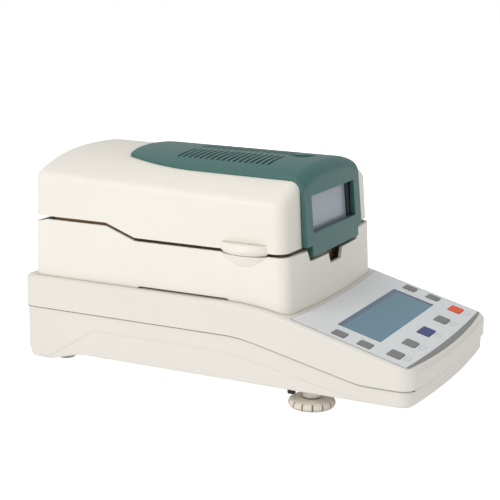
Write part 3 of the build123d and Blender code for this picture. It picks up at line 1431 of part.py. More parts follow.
with BuildPart() as power_rocker:
    tilt = radians(ROCKER_TILT)
    tilted = Plane(
        origin=(SWITCH_X, ROCKER_PIVOT_Y, REAR_PANEL_Z),
        x_dir=(0, cos(tilt), -sin(tilt)),
        z_dir=(1, 0, 0),
    )
    with BuildSketch(tilted.offset(-ROCKER_WIDTH / 2)):
        with BuildLine():
            top = ROCKER_PIVOT + ROCKER_PROUD
            Polyline(
                (top, -ROCKER_HEIGHT / 2),
                (top - ROCKER_DIP, 0),
                (top, ROCKER_HEIGHT / 2),
                (-ROCKER_PIVOT, ROCKER_HEIGHT / 2),
                (-ROCKER_THICK, 0),
                (-ROCKER_PIVOT, -ROCKER_HEIGHT / 2),
                close=True,
            )
        make_face()
    extrude(amount=ROCKER_WIDTH)
    axle_half = ROCKER_WIDTH / 2 + ROCKER_AXLE_REACH - ROCKER_AXLE_FIT
    with BuildSketch(tilted.offset(-axle_half)):
        Circle(ROCKER_AXLE_RADIUS)
    extrude(amount=2 * axle_half)
save(power_rocker.part, "power_rocker")

with BuildPart() as serial_port:
    inside = REAR_SEAT.offset(WALL)
    with BuildSketch(inside):
        with Locations((PORT_X, REAR_PANEL_Z)):
            RectangleRounded(PORT_FLANGE_WIDTH, PORT_FLANGE_HEIGHT, PORT_FLANGE_CORNER)
    extrude(amount=PORT_FLANGE_THICK)
    with BuildSketch(inside.offset(PORT_FLANGE_THICK)):
        with Locations((PORT_X, REAR_PANEL_Z)):
            Rectangle(
                PORT_SHELL_WIDTH + 2 * PORT_BODY_MARGIN, PORT_SHELL_HEIGHT + 2 * PORT_BODY_MARGIN
            )
    extrude(amount=PORT_DEPTH)
    with BuildSketch(inside):
        with Locations((PORT_X, REAR_PANEL_Z)):
            Rectangle(PORT_SHELL_WIDTH - 2 * PANE_FIT, PORT_SHELL_HEIGHT - 2 * PANE_FIT)
            Rectangle(
                PORT_SHELL_WIDTH - 2 * PORT_SHELL_WALL - 2 * PANE_FIT,
                PORT_SHELL_HEIGHT - 2 * PORT_SHELL_WALL - 2 * PANE_FIT,
                mode=Mode.SUBTRACT,
            )
    extrude(amount=-PORT_SHELL_LENGTH)
    with BuildSketch(inside):
        with Locations((PORT_X, REAR_PANEL_Z + PORT_PIN_PITCH / 2)):
            with GridLocations(PORT_PIN_PITCH, 1, 5, 1):
                Circle(PORT_PIN_RADIUS)
        with Locations((PORT_X, REAR_PANEL_Z - PORT_PIN_PITCH / 2)):
            with GridLocations(PORT_PIN_PITCH, 1, 4, 1):
                Circle(PORT_PIN_RADIUS)
    extrude(amount=PORT_PIN_RECESS - PORT_SHELL_LENGTH)
save(serial_port.part, "serial_port")

with BuildPart() as jack_screws:
    for x in (PORT_X - PORT_SCREW_SPREAD, PORT_X + PORT_SCREW_SPREAD):
        with BuildSketch(REAR_SEAT):
            with Locations((x, REAR_PANEL_Z)):
                RegularPolygon(PORT_SCREW_RADIUS, 6)
        extrude(amount=-PORT_SCREW_LENGTH)
        with BuildSketch(REAR_SEAT):
            with Locations((x, REAR_PANEL_Z)):
                Circle(SCREW_RADIUS - SCREW_FIT)
        extrude(amount=WALL)
save(jack_screws.part, "jack_screws")


# Weighing system, from the chassis plate up to the sample pan

CHASSIS_BOTTOM = FLOOR_Z + CHASSIS_LIFT
CHASSIS_TOP = CHASSIS_BOTTOM + CHASSIS_THICK
CELL_FRONT_Y = CELL_Y - CELL_OVERHANG
CELL_REAR_Y = CELL_FRONT_Y + CELL_LENGTH
CELL_MIDDLE_Y = (CELL_FRONT_Y + CELL_REAR_Y) / 2
CELL_TOP = CELL_BOTTOM + CELL_HEIGHT
CARRIER_BOTTOM = CELL_TOP
CARRIER_TOP = CARRIER_BOTTOM + CARRIER_THICK
SUPPORT_HUB_HEIGHT = SUPPORT_ARM_THICK + SUPPORT_SOCKET_DEPTH

with BuildPart() as chassis_plate:
    with BuildSketch(Plane.XY.offset(CHASSIS_BOTTOM)):
        with Locations((0, (CHASSIS_FRONT_Y + CHASSIS_REAR_Y) / 2)):
            RectangleRounded(2 * CHASSIS_HALF, CHASSIS_REAR_Y - CHASSIS_FRONT_Y, CHASSIS_CORNER)
        with Locations(*CHASSIS_POSTS):
            Circle(SCREW_RADIUS, mode=Mode.SUBTRACT)
    extrude(amount=CHASSIS_THICK)
save(chassis_plate.part, "chassis_plate")

with BuildPart() as cell_mount:
    with BuildSketch(Plane.XY.offset(CHASSIS_TOP)):
        with Locations((0, CELL_REAR_Y - MOUNT_LENGTH / 2)):
            Rectangle(MOUNT_WIDTH, MOUNT_LENGTH)
    extrude(amount=CELL_BOTTOM - CHASSIS_TOP)
save(cell_mount.part, "cell_mount")

with BuildPart() as load_cell:
    with Locations((0, CELL_MIDDLE_Y, CELL_BOTTOM + CELL_HEIGHT / 2)):
        Box(CELL_WIDTH, CELL_LENGTH, CELL_HEIGHT)
    with BuildSketch(Plane.YZ.offset(-CELL_WIDTH)):
        with Locations((CELL_MIDDLE_Y, CELL_BOTTOM + CELL_HEIGHT / 2)):
            with GridLocations(2 * CELL_HOLE_SPREAD, 1, 2, 1):
                Circle(CELL_HOLE_RADIUS)
            Rectangle(2 * CELL_HOLE_SPREAD, CELL_HOLE_RADIUS / 2)
    extrude(amount=2 * CELL_WIDTH, mode=Mode.SUBTRACT)
save(load_cell.part, "load_cell")

with BuildPart() as spindle:
    with BuildSketch(Plane.XY.offset(CARRIER_BOTTOM)):
        with Locations((0, CELL_Y)):
            Rectangle(CELL_WIDTH, CARRIER_LENGTH)
    extrude(amount=CARRIER_THICK)
    with BuildSketch(Plane.XY.offset(CARRIER_TOP)):
        with Locations((0, CELL_Y)):
            Circle(SPINDLE_RADIUS)
    extrude(amount=SUPPORT_Z - SUPPORT_ARM_THICK - CARRIER_TOP)
save(spindle.part, "spindle")

with BuildPart() as pan_support:
    with BuildSketch(Plane.XY.offset(SUPPORT_Z)):
        with Locations((0, CELL_Y)):
            Rectangle(2 * SUPPORT_ARM_LENGTH, SUPPORT_ARM_WIDTH)
            Rectangle(SUPPORT_ARM_WIDTH, 2 * SUPPORT_ARM_LENGTH)
    extrude(amount=-SUPPORT_ARM_THICK)
    with BuildSketch(Plane.XY.offset(SUPPORT_Z)):
        with Locations((0, CELL_Y)):
            Circle(SUPPORT_HUB_RADIUS)
    extrude(amount=-SUPPORT_HUB_HEIGHT)
    with BuildSketch(Plane.XY.offset(SUPPORT_Z - SUPPORT_ARM_THICK)):
        with Locations((0, CELL_Y)):
            Circle(SPINDLE_RADIUS + SUPPORT_FIT)
    extrude(amount=-SUPPORT_SOCKET_DEPTH, mode=Mode.SUBTRACT)
save(pan_support.part, "pan_support")

with BuildPart() as sample_pan:
    with Locations((0, CELL_Y, SUPPORT_Z)):
        Cylinder(PAN_RADIUS, PAN_HEIGHT, align=(Align.CENTER, Align.CENTER, Align.MIN))
    with Locations((0, CELL_Y, SUPPORT_Z + PAN_THICK)):
        Cylinder(
            PAN_RADIUS - PAN_THICK,
            PAN_HEIGHT,
            align=(Align.CENTER, Align.CENTER, Align.MIN),
            mode=Mode.SUBTRACT,
        )
save(sample_pan.part, "sample_pan")

HOLDER_TOP = SUPPORT_Z - HOLDER_GAP
HOLDER_BOTTOM = HOLDER_TOP - HOLDER_THICK
with BuildPart() as pan_holder:
    with BuildSketch(Plane.XY.offset(HOLDER_BOTTOM)):
        with Locations((0, CELL_Y)):
            Circle(HOLDER_OUTER_RADIUS)
            Circle(HOLDER_INNER_RADIUS, mode=Mode.SUBTRACT)
        handle_rear = CELL_Y - HOLDER_INNER_RADIUS - HANDLE_OVERLAP
        with Locations((0, (HANDLE_FRONT_Y + handle_rear) / 2)):
            Rectangle(HANDLE_WIDTH, handle_rear - HANDLE_FRONT_Y)
    extrude(amount=HOLDER_THICK)
save(pan_holder.part, "pan_holder")

with BuildPart() as draft_ring:
    with BuildSketch(Plane.XY.offset(TRAY_TOP)):
        with Locations((0, CELL_Y)):
            Circle(RING_OUTER_RADIUS)
            Circle(RING_OUTER_RADIUS - RING_WALL, mode=Mode.SUBTRACT)
    extrude(amount=HOLDER_BOTTOM - TRAY_TOP)
save(draft_ring.part, "draft_ring")


# Electronics and fasteners in the base

with BuildPart() as main_board:
    with BuildSketch(Plane.XY.offset(MAIN_BOARD_Z)):
        with Locations((0, (MAIN_BOARD_REAR_Y + MAIN_BOARD_FRONT_Y) / 2)):
            Rectangle(2 * MAIN_BOARD_HALF, MAIN_BOARD_REAR_Y - MAIN_BOARD_FRONT_Y)
    extrude(amount=BOARD_THICK)
save(main_board.part, "main_board")

with BuildPart() as board_parts:
    with BuildSketch(Plane.XY.offset(MAIN_BOARD_Z + BOARD_THICK)):
        with Locations(*BOARD_PART_PLACES):
            Rectangle(BOARD_PART_SIZE, BOARD_PART_SIZE)
    extrude(amount=BOARD_PART_HEIGHT)
save(board_parts.part, "board_parts")

with BuildPart() as power_supply:
    with Locations((SUPPLY_X, SUPPLY_REAR_Y - SUPPLY_LENGTH / 2, CHASSIS_TOP)):
        Box(
            SUPPLY_WIDTH,
            SUPPLY_LENGTH,
            SUPPLY_HEIGHT,
            align=(Align.CENTER, Align.CENTER, Align.MIN),
        )
    fillet(power_supply.edges().filter_by(Axis.Z), SUPPLY_CORNER)
save(power_supply.part, "power_supply")

with BuildPart() as base_screws:
    for x, y, seat_z in BASE_SCREWS:
        with BuildSketch(Plane.XY.offset(seat_z)):
            with Locations((x, y)):
                Circle(SCREW_HEAD_RADIUS)
        extrude(amount=-SCREW_HEAD_HEIGHT)
        with BuildSketch(Plane.XY.offset(seat_z)):
            with Locations((x, y)):
                Circle(SCREW_RADIUS - SCREW_FIT)
        extrude(amount=BASE_SCREW_LENGTH)
save(base_screws.part, "base_screws")

with BuildPart() as housing_screws:
    with BuildSketch(Plane.XY.offset(PAD_Z)):
        with Locations(*HOUSING_BOSSES):
            Circle(SCREW_HEAD_RADIUS)
    extrude(amount=-SCREW_HEAD_HEIGHT)
    with BuildSketch(Plane.XY.offset(PAD_Z)):
        with Locations(*HOUSING_BOSSES):
            Circle(SCREW_RADIUS - SCREW_FIT)
    extrude(amount=HOUSING_SCREW_LENGTH)
save(housing_screws.part, "housing_screws")
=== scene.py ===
import math

import bmesh
import bpy
from mathutils import Matrix, Vector


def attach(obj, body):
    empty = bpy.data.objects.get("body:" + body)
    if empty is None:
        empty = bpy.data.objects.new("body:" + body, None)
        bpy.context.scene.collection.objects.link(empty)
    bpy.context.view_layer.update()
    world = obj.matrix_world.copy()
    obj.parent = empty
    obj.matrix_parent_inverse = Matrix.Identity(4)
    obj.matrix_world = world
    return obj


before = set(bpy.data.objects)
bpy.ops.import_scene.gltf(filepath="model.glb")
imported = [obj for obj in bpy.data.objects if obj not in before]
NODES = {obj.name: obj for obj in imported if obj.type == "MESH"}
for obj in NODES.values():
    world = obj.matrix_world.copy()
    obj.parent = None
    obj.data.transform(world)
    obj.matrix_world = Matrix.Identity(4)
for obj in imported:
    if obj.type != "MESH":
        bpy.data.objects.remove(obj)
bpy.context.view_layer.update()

# Sizes shared with the solid model, in metres
PANEL_Y = -0.0635
PANEL_Z = 0.08476
PANEL_SLOPE = 0.265
OVERLAY_THICK = 0.0004
SLOPE_COS = 1 / math.sqrt(1 + PANEL_SLOPE**2)
OVERLAY_HALF = 0.0974
OVERLAY_REAR = -0.0772
OVERLAY_REAR_BOW = 0.0043
OVERLAY_FRONT = -0.1824
OVERLAY_FRONT_BOW = 0.0066
KEY_ROW_Y = -0.1651
KEY_ROW_X = (-0.0793, -0.0438, -0.0042, 0.0382, 0.0774)
BASE_HALF = 0.1025
BASE_FRONT = -0.1875
BASE_REAR = 0.1935
BASE_BOW = 0.006
BASE_CORNER = 0.014
JOINT_REAR_Z = 0.0604
JOINT_FRONT_Z = 0.035
# Bends of the base's joint line: place along Y, radius
JOINT_REAR_BEND = (-0.0305, 0.150)
JOINT_FRONT_BEND = (-0.1422, 0.060)
CROWN_HALF = 0.090
# Crown of the lid at its two ends: place along Y, height at the middle, height at the side
CROWN_FRONT = (-0.1035, 0.1992, 0.1757)
CROWN_REAR = (0.2165, 0.2002, 0.1852)
CROWN_FULLNESS = 2.5
VENT_Y = 0.0175
VENT_HALF_LENGTH = 0.048
CELL_Y = 0.0175
LAMP_Z = 0.1675
LAMP_RADIUS = 0.045
SWITCH_X = -0.006
SWITCH_Z = 0.038


# Materials: ranges that masks run over, and places in the pieces' own coordinates

MOTTLE_RANGE = (0.42, 0.72)
CORNER_SHADE_RANGE = (0.35, 0.85)
METAL_SCRATCH = 0.00004
RING_SCALE = 260.0
TRACK_SCALE = 340.0
DISPLAY_RIGHT_SHADOW = (0.0628, 0.0634)
DISPLAY_REAR_SHADOW = (-0.1128, -0.1122)
DISPLAY_SHEEN = (-0.147, -0.112)
LINER_FRONT_GLINT = (-0.054, -0.062)
LINER_BROWN_REAR = (0.085, 0.112)
MARK_OFFSET = 0.0045
BAR_HALF_WIDTH = (0.0004, 0.0003)
BAR_HALF_HEIGHT = (0.0015, 0.0014)
MARK_RING_RADIUS = 0.0014
MARK_RING_HALF = (0.0004, 0.0003)


class Paint:
    """A procedural material, built up layer by layer in object coordinates."""

    def __init__(self, name, color, rough=0.45, metal=0.0, **sockets):
        self.material = bpy.data.materials.new(name)
        self.material.use_nodes = True
        self.tree = self.material.node_tree
        self.shader = self.tree.nodes["Principled BSDF"]
        self.coords = self.tree.nodes.new("ShaderNodeTexCoord").outputs["Object"]
        self.color = (*color, 1.0)
        self.normal = None
        self.shader.inputs["Base Color"].default_value = self.color
        self.shader.inputs["Roughness"].default_value = rough
        self.shader.inputs["Metallic"].default_value = metal
        for socket, value in sockets.items():
            self.shader.inputs[socket.replace("_", " ")].default_value = value

    def node(self, kind, **settings):
        made = self.tree.nodes.new(kind)
        for key, value in settings.items():
            setattr(made, key, value)
        return made

    def link(self, start, end):
        self.tree.links.new(start, end)

    def math(self, operation, first, second=None):
        made = self.node("ShaderNodeMath", operation=operation)
        for socket, value in zip(made.inputs, (first, second)):
            if isinstance(value, (int, float)):
                socket.default_value = value
            elif value is not None:
                self.link(value, socket)
        return made.outputs[0]

    def stretched(self, scale):
        """Object coordinates scaled along each axis."""
        mapping = self.node("ShaderNodeMapping")
        mapping.inputs["Scale"].default_value = scale
        self.link(self.coords, mapping.inputs["Vector"])
        return mapping.outputs["Vector"]

    def noise(self, scale, detail, stretch=None):
        made = self.node("ShaderNodeTexNoise")
        made.inputs["Scale"].default_value = scale
        made.inputs["Detail"].default_value = detail
        self.link(self.stretched(stretch) if stretch else self.coords, made.inputs["Vector"])
        return made.outputs["Fac"]

    def ramp(self, value, low, high, low_value=0.0, high_value=1.0):
        made = self.node("ShaderNodeMapRange", clamp=True)
        self.link(value, made.inputs["Value"])
        for socket, number in zip(
            ("From Min", "From Max", "To Min", "To Max"), (low, high, low_value, high_value)
        ):
            made.inputs[socket].default_value = number
        return made.outputs["Result"]

    def tint(self, mask, color, blend="MIX"):
        """Lays a colour over what is there, as strongly as the mask says."""
        made = self.node("ShaderNodeMix", data_type="RGBA", blend_type=blend)
        if isinstance(mask, (int, float)):
            made.inputs["Factor"].default_value = mask
        else:
            self.link(mask, made.inputs["Factor"])
        if isinstance(self.color, tuple):
            made.inputs["A"].default_value = self.color
        else:
            self.link(self.color, made.inputs["A"])
        made.inputs["B"].default_value = (*color, 1.0)
        self.color = made.outputs["Result"]
        self.link(self.color, self.shader.inputs["Base Color"])
        return self

    def mottle(self, scale, strength, dark=0.9):
        """Faint lighter and darker areas, as moulding and handling leave."""
        mask = self.ramp(self.noise(scale, 4.0), *MOTTLE_RANGE, 0.0, strength)
        return self.tint(mask, (dark, dark, dark), "MULTIPLY")

    def corner_shade(self, distance, strength, color=(0.30, 0.28, 0.24)):
        """Painted shade: darkens seams and corners, the more so the more closely other
        surfaces hide them.
        """
        hollow = self.node("ShaderNodeAmbientOcclusion", samples=6)
        hollow.inputs["Distance"].default_value = distance
        mask = self.ramp(hollow.outputs["AO"], *CORNER_SHADE_RANGE, strength, 0.0)
        return self.tint(mask, color, "MULTIPLY")

    def rough(self, scale, low, high, stretch=None):
        value = self.ramp(self.noise(scale, 3.0, stretch), 0.3, 0.7, low, high)
        self.link(value, self.shader.inputs["Roughness"])
        return self

    def bump(self, height, distance, strength=0.5):
        """Surface relief; later layers ride on the earlier ones."""
        made = self.node("ShaderNodeBump")
        made.inputs["Strength"].default_value = strength
        made.inputs["Distance"].default_value = distance
        self.link(height, made.inputs["Height"])
        if self.normal is not None:
            self.link(self.normal, made.inputs["Normal"])
        self.normal = made.outputs["Normal"]
        self.link(self.normal, self.shader.inputs["Normal"])
        return self

    def soften(self, radius):
        """Rounds the look of every sharp edge a little."""
        made = self.node("ShaderNodeBevel", samples=4)
        made.inputs["Radius"].default_value = radius
        self.normal = made.outputs["Normal"]
        self.link(self.normal, self.shader.inputs["Normal"])
        return self

    def axis(self, name):
        split = self.node("ShaderNodeSeparateXYZ")
        self.link(self.coords, split.inputs["Vector"])
        return split.outputs[name]


def plastic(name, color, rough=0.45, grain=2600.0, depth=0.00006, edge=0.0005, shade=0.3):
    """Moulded plastic: fine spark texture, faint mottling, painted shade in its corners."""
    paint = Paint(name, color, rough)
    paint.soften(edge)
    paint.mottle(14.0, 0.35, 0.94)
    # Painted shade in corners and recesses.
    paint.corner_shade(0.006, shade)
    # Painted shade, tinted brown: a dark line in the tightest seams, such as under the green
    # cover's edge.
    paint.corner_shade(0.0011, 0.95, (0.33, 0.27, 0.19))
    paint.rough(900.0, rough - 0.07, rough + 0.09)
    paint.bump(paint.noise(grain, 2.0), depth, 0.35)
    return paint


def metal(name, color, rough, stretch):
    """Brushed or rolled metal with its marks drawn out along one axis."""
    paint = Paint(name, color, rough, 1.0)
    paint.soften(0.0003)
    paint.mottle(30.0, 0.6, 0.8)
    # Painted shade in the metal's corners.
    paint.corner_shade(0.004, 0.5)
    paint.rough(420.0, rough - 0.08, rough + 0.12, stretch)
    paint.bump(paint.noise(700.0, 3.0, stretch), METAL_SCRATCH, 0.4)
    return paint


def turned(name, color, rough, centre):
    """Sheet metal spun on a lathe: fine rings round a centre."""
    paint = Paint(name, color, rough, 1.0)
    paint.soften(0.0003)
    shift = paint.node("ShaderNodeMapping")
    shift.inputs["Location"].default_value = (-centre[0], -centre[1], 0)
    paint.link(paint.coords, shift.inputs["Vector"])
    rings = paint.node("ShaderNodeTexWave", wave_type="RINGS", rings_direction="Z")
    rings.inputs["Scale"].default_value = RING_SCALE
    rings.inputs["Distortion"].default_value = 3.0
    rings.inputs["Detail"].default_value = 3.0
    paint.link(shift.outputs["Vector"], rings.inputs["Vector"])
    paint.mottle(35.0, 0.6, 0.82)
    # Painted shade in the pan's corners.
    paint.corner_shade(0.004, 0.5)
    value = paint.ramp(rings.outputs["Fac"], 0.0, 1.0, rough - 0.06, rough + 0.1)
    paint.link(value, paint.shader.inputs["Roughness"])
    paint.bump(rings.outputs["Fac"], 0.00003, 0.4)
    return paint


def glass(name, color, rough, alpha):
    """Clear or tinted sheet that shows what is behind it."""
    paint = Paint(name, color, rough, Alpha=alpha)
    paint.mottle(24.0, 0.15, 0.96)
    paint.rough(60.0, rough * 0.9, rough * 1.1)
    paint.shader.inputs["Coat Weight"].default_value = 0.6
    return paint


def circuit(name):
    """Lacquered board with copper runs under the lacquer."""
    paint = Paint(name, (0.012, 0.11, 0.045), 0.3)
    paint.mottle(50.0, 0.5)
    for stretch in ((1.0, 0.02, 1.0), (0.02, 1.0, 1.0)):
        runs = paint.node("ShaderNodeTexVoronoi", feature="F1", distance="CHEBYCHEV")
        runs.inputs["Scale"].default_value = TRACK_SCALE
        paint.link(paint.stretched(stretch), runs.inputs["Vector"])
        paint.tint(paint.ramp(runs.outputs["Distance"], 0.16, 0.12), (0.03, 0.22, 0.08))
    paint.rough(400.0, 0.24, 0.4)
    return paint


def display(name):
    """Blank display: a blue grey field with a darker band at its rear and right, a painted
    shadow of its recess, and a painted sheen along it.
    """
    paint = Paint(name, (0.118, 0.262, 0.352), 0.2)
    # Painted shadow of the recess walls: a darker band along the right and rear edges.
    shadow_x = paint.ramp(paint.axis("X"), *DISPLAY_RIGHT_SHADOW)
    shadow_y = paint.ramp(paint.axis("Y"), *DISPLAY_REAR_SHADOW)
    paint.tint(paint.math("MAXIMUM", shadow_x, shadow_y), (0.092, 0.135, 0.215))
    # Painted sheen: the field dims a little towards its rear.
    sheen = paint.ramp(paint.axis("Y"), *DISPLAY_SHEEN, 0.0, 0.3)
    paint.tint(sheen, (0.102, 0.225, 0.33))
    paint.mottle(20.0, 0.2, 0.95)
    paint.rough(500.0, 0.17, 0.24)
    paint.shader.inputs["Coat Weight"].default_value = 0.35
    return paint


def tarnished(name):
    """Chamber sheet that heat has browned, most of all towards its rear, with a painted glint
    that makes its front paler.
    """
    paint = Paint(name, (0.13, 0.12, 0.11), 0.42, 0.55)
    paint.soften(0.0003)
    # Painted glint: the front of the sheet is lighter.
    paint.tint(paint.ramp(paint.axis("Y"), *LINER_FRONT_GLINT), (0.36, 0.32, 0.26))
    heat = paint.ramp(paint.axis("Y"), *LINER_BROWN_REAR, 0.15, 0.9)
    paint.tint(heat, (0.50, 0.31, 0.13))
    paint.mottle(26.0, 0.6, 0.8)
    # Painted shade in its corners.
    paint.corner_shade(0.006, 0.6)
    paint.rough(420.0, 0.34, 0.52, (0.04, 1.0, 1.0))
    return paint


def switch(name):
    """Black rocker with the usual bar for on and ring for off."""
    paint = Paint(name, (0.014, 0.014, 0.015), 0.36)
    paint.soften(0.0004)
    across = paint.math("ABSOLUTE", paint.math("SUBTRACT", paint.axis("X"), SWITCH_X))
    height = paint.math("SUBTRACT", paint.axis("Z"), SWITCH_Z)
    above = paint.math("ABSOLUTE", paint.math("SUBTRACT", height, MARK_OFFSET))
    below = paint.math("ABSOLUTE", paint.math("ADD", height, MARK_OFFSET))
    bar = paint.math(
        "MULTIPLY", paint.ramp(across, *BAR_HALF_WIDTH), paint.ramp(above, *BAR_HALF_HEIGHT)
    )
    across_squared = paint.math("MULTIPLY", across, across)
    below_squared = paint.math("MULTIPLY", below, below)
    span = paint.math("SQRT", paint.math("ADD", across_squared, below_squared))
    off_ring = paint.math("ABSOLUTE", paint.math("SUBTRACT", span, MARK_RING_RADIUS))
    marks = paint.math("MAXIMUM", bar, paint.ramp(off_ring, *MARK_RING_HALF))
    paint.tint(marks, (0.8, 0.8, 0.8))
    paint.rough(700.0, 0.3, 0.42)
    return paint


CREAM = plastic("cream_case", (0.80, 0.77, 0.72), 0.46)
WARM = plastic("warm_case", (0.88, 0.845, 0.775), 0.44)
GREEN = plastic("green_cover", (0.050, 0.158, 0.146), 0.34, 2200.0, 0.00005, 0.0009, 0.0)
DARK = plastic("dark_plastic", (0.035, 0.036, 0.038), 0.5)
BLACK = plastic("black_plastic", (0.012, 0.012, 0.013), 0.42)
OVERLAY = plastic("overlay_film", (0.80, 0.825, 0.84), 0.4, 3600.0, 0.00003, 0.0002)
KEY_GREY = plastic("key_grey", (0.235, 0.237, 0.24), 0.4, 3000.0, 0.00004, 0.0003)
KEY_BLUE = plastic("key_blue", (0.052, 0.072, 0.235), 0.4, 3000.0, 0.00004, 0.0003)
KEY_ORANGE = plastic("key_orange", (0.88, 0.105, 0.022), 0.4, 3000.0, 0.00004, 0.0003)
FOOT = plastic("foot_plastic", (0.80, 0.745, 0.65), 0.5)
COLLAR = plastic("collar_plastic", (0.86, 0.84, 0.80), 0.5)
RUBBER = plastic("rubber", (0.72, 0.70, 0.66), 0.75, 1500.0, 0.0001)
STEEL = metal("steel", (0.56, 0.56, 0.57), 0.32, (1.0, 1.0, 0.06))
SHEET = metal("sheet_metal", (0.66, 0.665, 0.67), 0.3, (0.04, 1.0, 1.0))
LINER = tarnished("chamber_lining")
REFLECTOR = metal("reflector", (0.78, 0.775, 0.76), 0.2, (0.04, 1.0, 1.0))
CAST = metal("cast_metal", (0.58, 0.59, 0.6), 0.42, (1.0, 0.1, 1.0))
PAN = turned("spun_pan", (0.82, 0.82, 0.81), 0.26, (0.0, CELL_Y))
WINDOW = glass("window_pane", (0.37, 0.425, 0.475), 0.3, 0.95)
CLEAR = glass("clear_sheet", (0.62, 0.70, 0.74), 0.06, 0.14)
QUARTZ = glass("quartz", (0.86, 0.86, 0.84), 0.05, 0.35)
TUNGSTEN = metal("tungsten", (0.30, 0.28, 0.26), 0.4, (1.0, 1.0, 1.0))
BOARD = circuit("circuit_board")
DISPLAY = display("display")
ROCKER = switch("rocker_black")
STRIPE = plastic("stripe_grey", (0.265, 0.27, 0.262), 0.42, 3600.0, 0.00003, 0.0002)
OUTLINE = plastic("outline_ink", (0.38, 0.39, 0.40), 0.42, 3600.0, 0.00002, 0.0001)
SEAM = plastic("seam_shade", (0.10, 0.085, 0.07), 0.7, 1500.0, 0.00002, 0.0001)

FINISHES = {
    CREAM: ["upper_shell", "lower_shell"],
    WARM: ["chamber_housing", "lid_shell"],
    GREEN: ["lid_cover"],
    DARK: ["window_bezel", "key_switches", "board_parts"],
    BLACK: ["power_inlet", "fuse_drawer", "rocker_frame", "lamp_clips", "transit_screw"],
    OVERLAY: ["keypad_overlay"],
    KEY_GREY: [
        "key_left_rear", "key_left_front", "key_right_rear", "key_right_front",
        "key_row_1", "key_row_2", "key_row_4",
    ],
    KEY_BLUE: ["key_row_3"],
    KEY_ORANGE: ["key_row_5"],
    ROCKER: ["power_rocker"],
    FOOT: ["foot_disc_left", "foot_disc_right"],
    COLLAR: ["foot_collars"],
    RUBBER: ["rear_feet"],
    STEEL: [
        "foot_stud_left", "foot_stud_right", "hinge_pins", "hinge_brackets",
        "inlet_pins", "serial_port", "jack_screws", "base_screws", "housing_screws",
        "spindle", "temperature_sensor",
    ],
    LINER: ["chamber_liner"],
    SHEET: ["chamber_floor", "glass_frame"],
    REFLECTOR: ["reflector_plate"],
    CAST: ["chassis_plate", "cell_mount", "load_cell", "power_supply"],
    PAN: ["sample_pan", "pan_holder", "draft_ring", "pan_support"],
    WINDOW: ["window_pane"],
    CLEAR: ["lamp_glass"],
    QUARTZ: ["halogen_lamp"],
    BOARD: ["keypad_board", "lcd_board", "main_board"],
    DISPLAY: ["lcd_module", "display_window"],
}
for paint, names in FINISHES.items():
    for name in names:
        mesh = NODES[name].data
        mesh.materials.clear()
        mesh.materials.append(paint.material)


# Pieces that the solid model leaves to the eye

PRINT_THICK = 0.00006
PRINT_LOW = OVERLAY_THICK
PRINT_HIGH = OVERLAY_THICK + PRINT_THICK
FILM_CORNER = 0.003
FILM_LINE = 0.0003
LABEL_WIDTH = 0.0095
LABEL_LENGTH = 0.0036
LABEL_CORNER = 0.0009
LABEL_LINE = 0.00022
LABEL_AHEAD = 0.0102
LABEL_SIDE = 0.0018
STRIPE_REAR_EDGE = (0.0968, -0.1806, 0.0031)
STRIPE_FRONT_EDGE = (0.0964, -0.1822, 0.0064)
NEARLY_STRAIGHT = math.radians(150)


def finish_piece(name, mesh, body, paint):
    """Names a made piece and ties it to the body that carries it."""
    piece = bpy.data.objects.new(name, mesh)
    bpy.context.scene.collection.objects.link(piece)
    mesh.materials.append(paint.material)
    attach(piece, body)
    return piece


def on_panel(x, y, lift):
    """A point above the sloping panel, from its plan position."""
    z = PANEL_Z + PANEL_SLOPE * (y - PANEL_Y)
    return Vector((x, y - lift * PANEL_SLOPE * SLOPE_COS, z + lift * SLOPE_COS))


def band(name, rings, body, paint, closed=True):
    """A solid band through rows of points that run side by side."""
    shape = bmesh.new()
    rows = [[shape.verts.new(point) for point in ring] for ring in rings]
    count = len(rows[0])
    for step in range(count if closed else count - 1):
        following = (step + 1) % count
        for near, far in zip(rows, rows[1:] + rows[:1]):
            shape.faces.new((near[step], near[following], far[following], far[step]))
    if not closed:
        shape.faces.new([row[0] for row in rows])
        shape.faces.new([row[-1] for row in rows])
    bmesh.ops.recalc_face_normals(shape, faces=shape.faces)
    mesh = bpy.data.meshes.new(name)
    shape.to_mesh(mesh)
    shape.free()
    return finish_piece(name, mesh, body, paint)


def print_band(name, inner, outer, paint, closed=True):
    """Ink on the panel film, between two rows of plan points."""
    rings = [
        [on_panel(x, y, lift) for x, y in row]
        for row, lift in (
            (inner, PRINT_LOW), (outer, PRINT_LOW), (outer, PRINT_HIGH), (inner, PRINT_HIGH)
        )
    ]
    return band(name, rings, "case", paint, closed)


def bowed(half, shadow_y, bow, steps=36):
    """Plan points along an edge that bows forward at its middle."""
    return [
        (half * t, shadow_y - bow * (1 - t * t))
        for t in (2 * step / steps - 1 for step in range(steps + 1))
    ]


def rounded(corners, radius, steps=6):
    """The same plan outline with each sharp corner rounded off."""
    points = []
    for index, corner in enumerate(corners):
        here = Vector(corner)
        before = Vector(corners[index - 1]) - here
        after = Vector(corners[(index + 1) % len(corners)]) - here
        if before.angle(after) > NEARLY_STRAIGHT:
            points.append(here)
            continue
        start = here + before.normalized() * radius
        end = here + after.normalized() * radius
        for step in range(steps + 1):
            t = step / steps
            points.append(start * (1 - t) ** 2 + here * 2 * t * (1 - t) + end * t**2)
    return points


def film_outline(grow):
    """Outline of the panel film, grown outward."""
    half = OVERLAY_HALF + grow
    rear = bowed(half, OVERLAY_REAR + grow, OVERLAY_REAR_BOW)
    front = bowed(half, OVERLAY_FRONT - grow, OVERLAY_FRONT_BOW)
    return rounded(rear + front[::-1], FILM_CORNER + grow)


def label_outline(x, y, grow):
    """Outline of the box in front of a key, grown outward."""
    half = LABEL_WIDTH / 2 + grow
    reach = LABEL_LENGTH / 2 + grow
    corners = [
        (x - half, y - reach), (x + half, y - reach),
        (x + half, y + reach), (x - half, y + reach),
    ]
    return rounded(corners, LABEL_CORNER + grow)


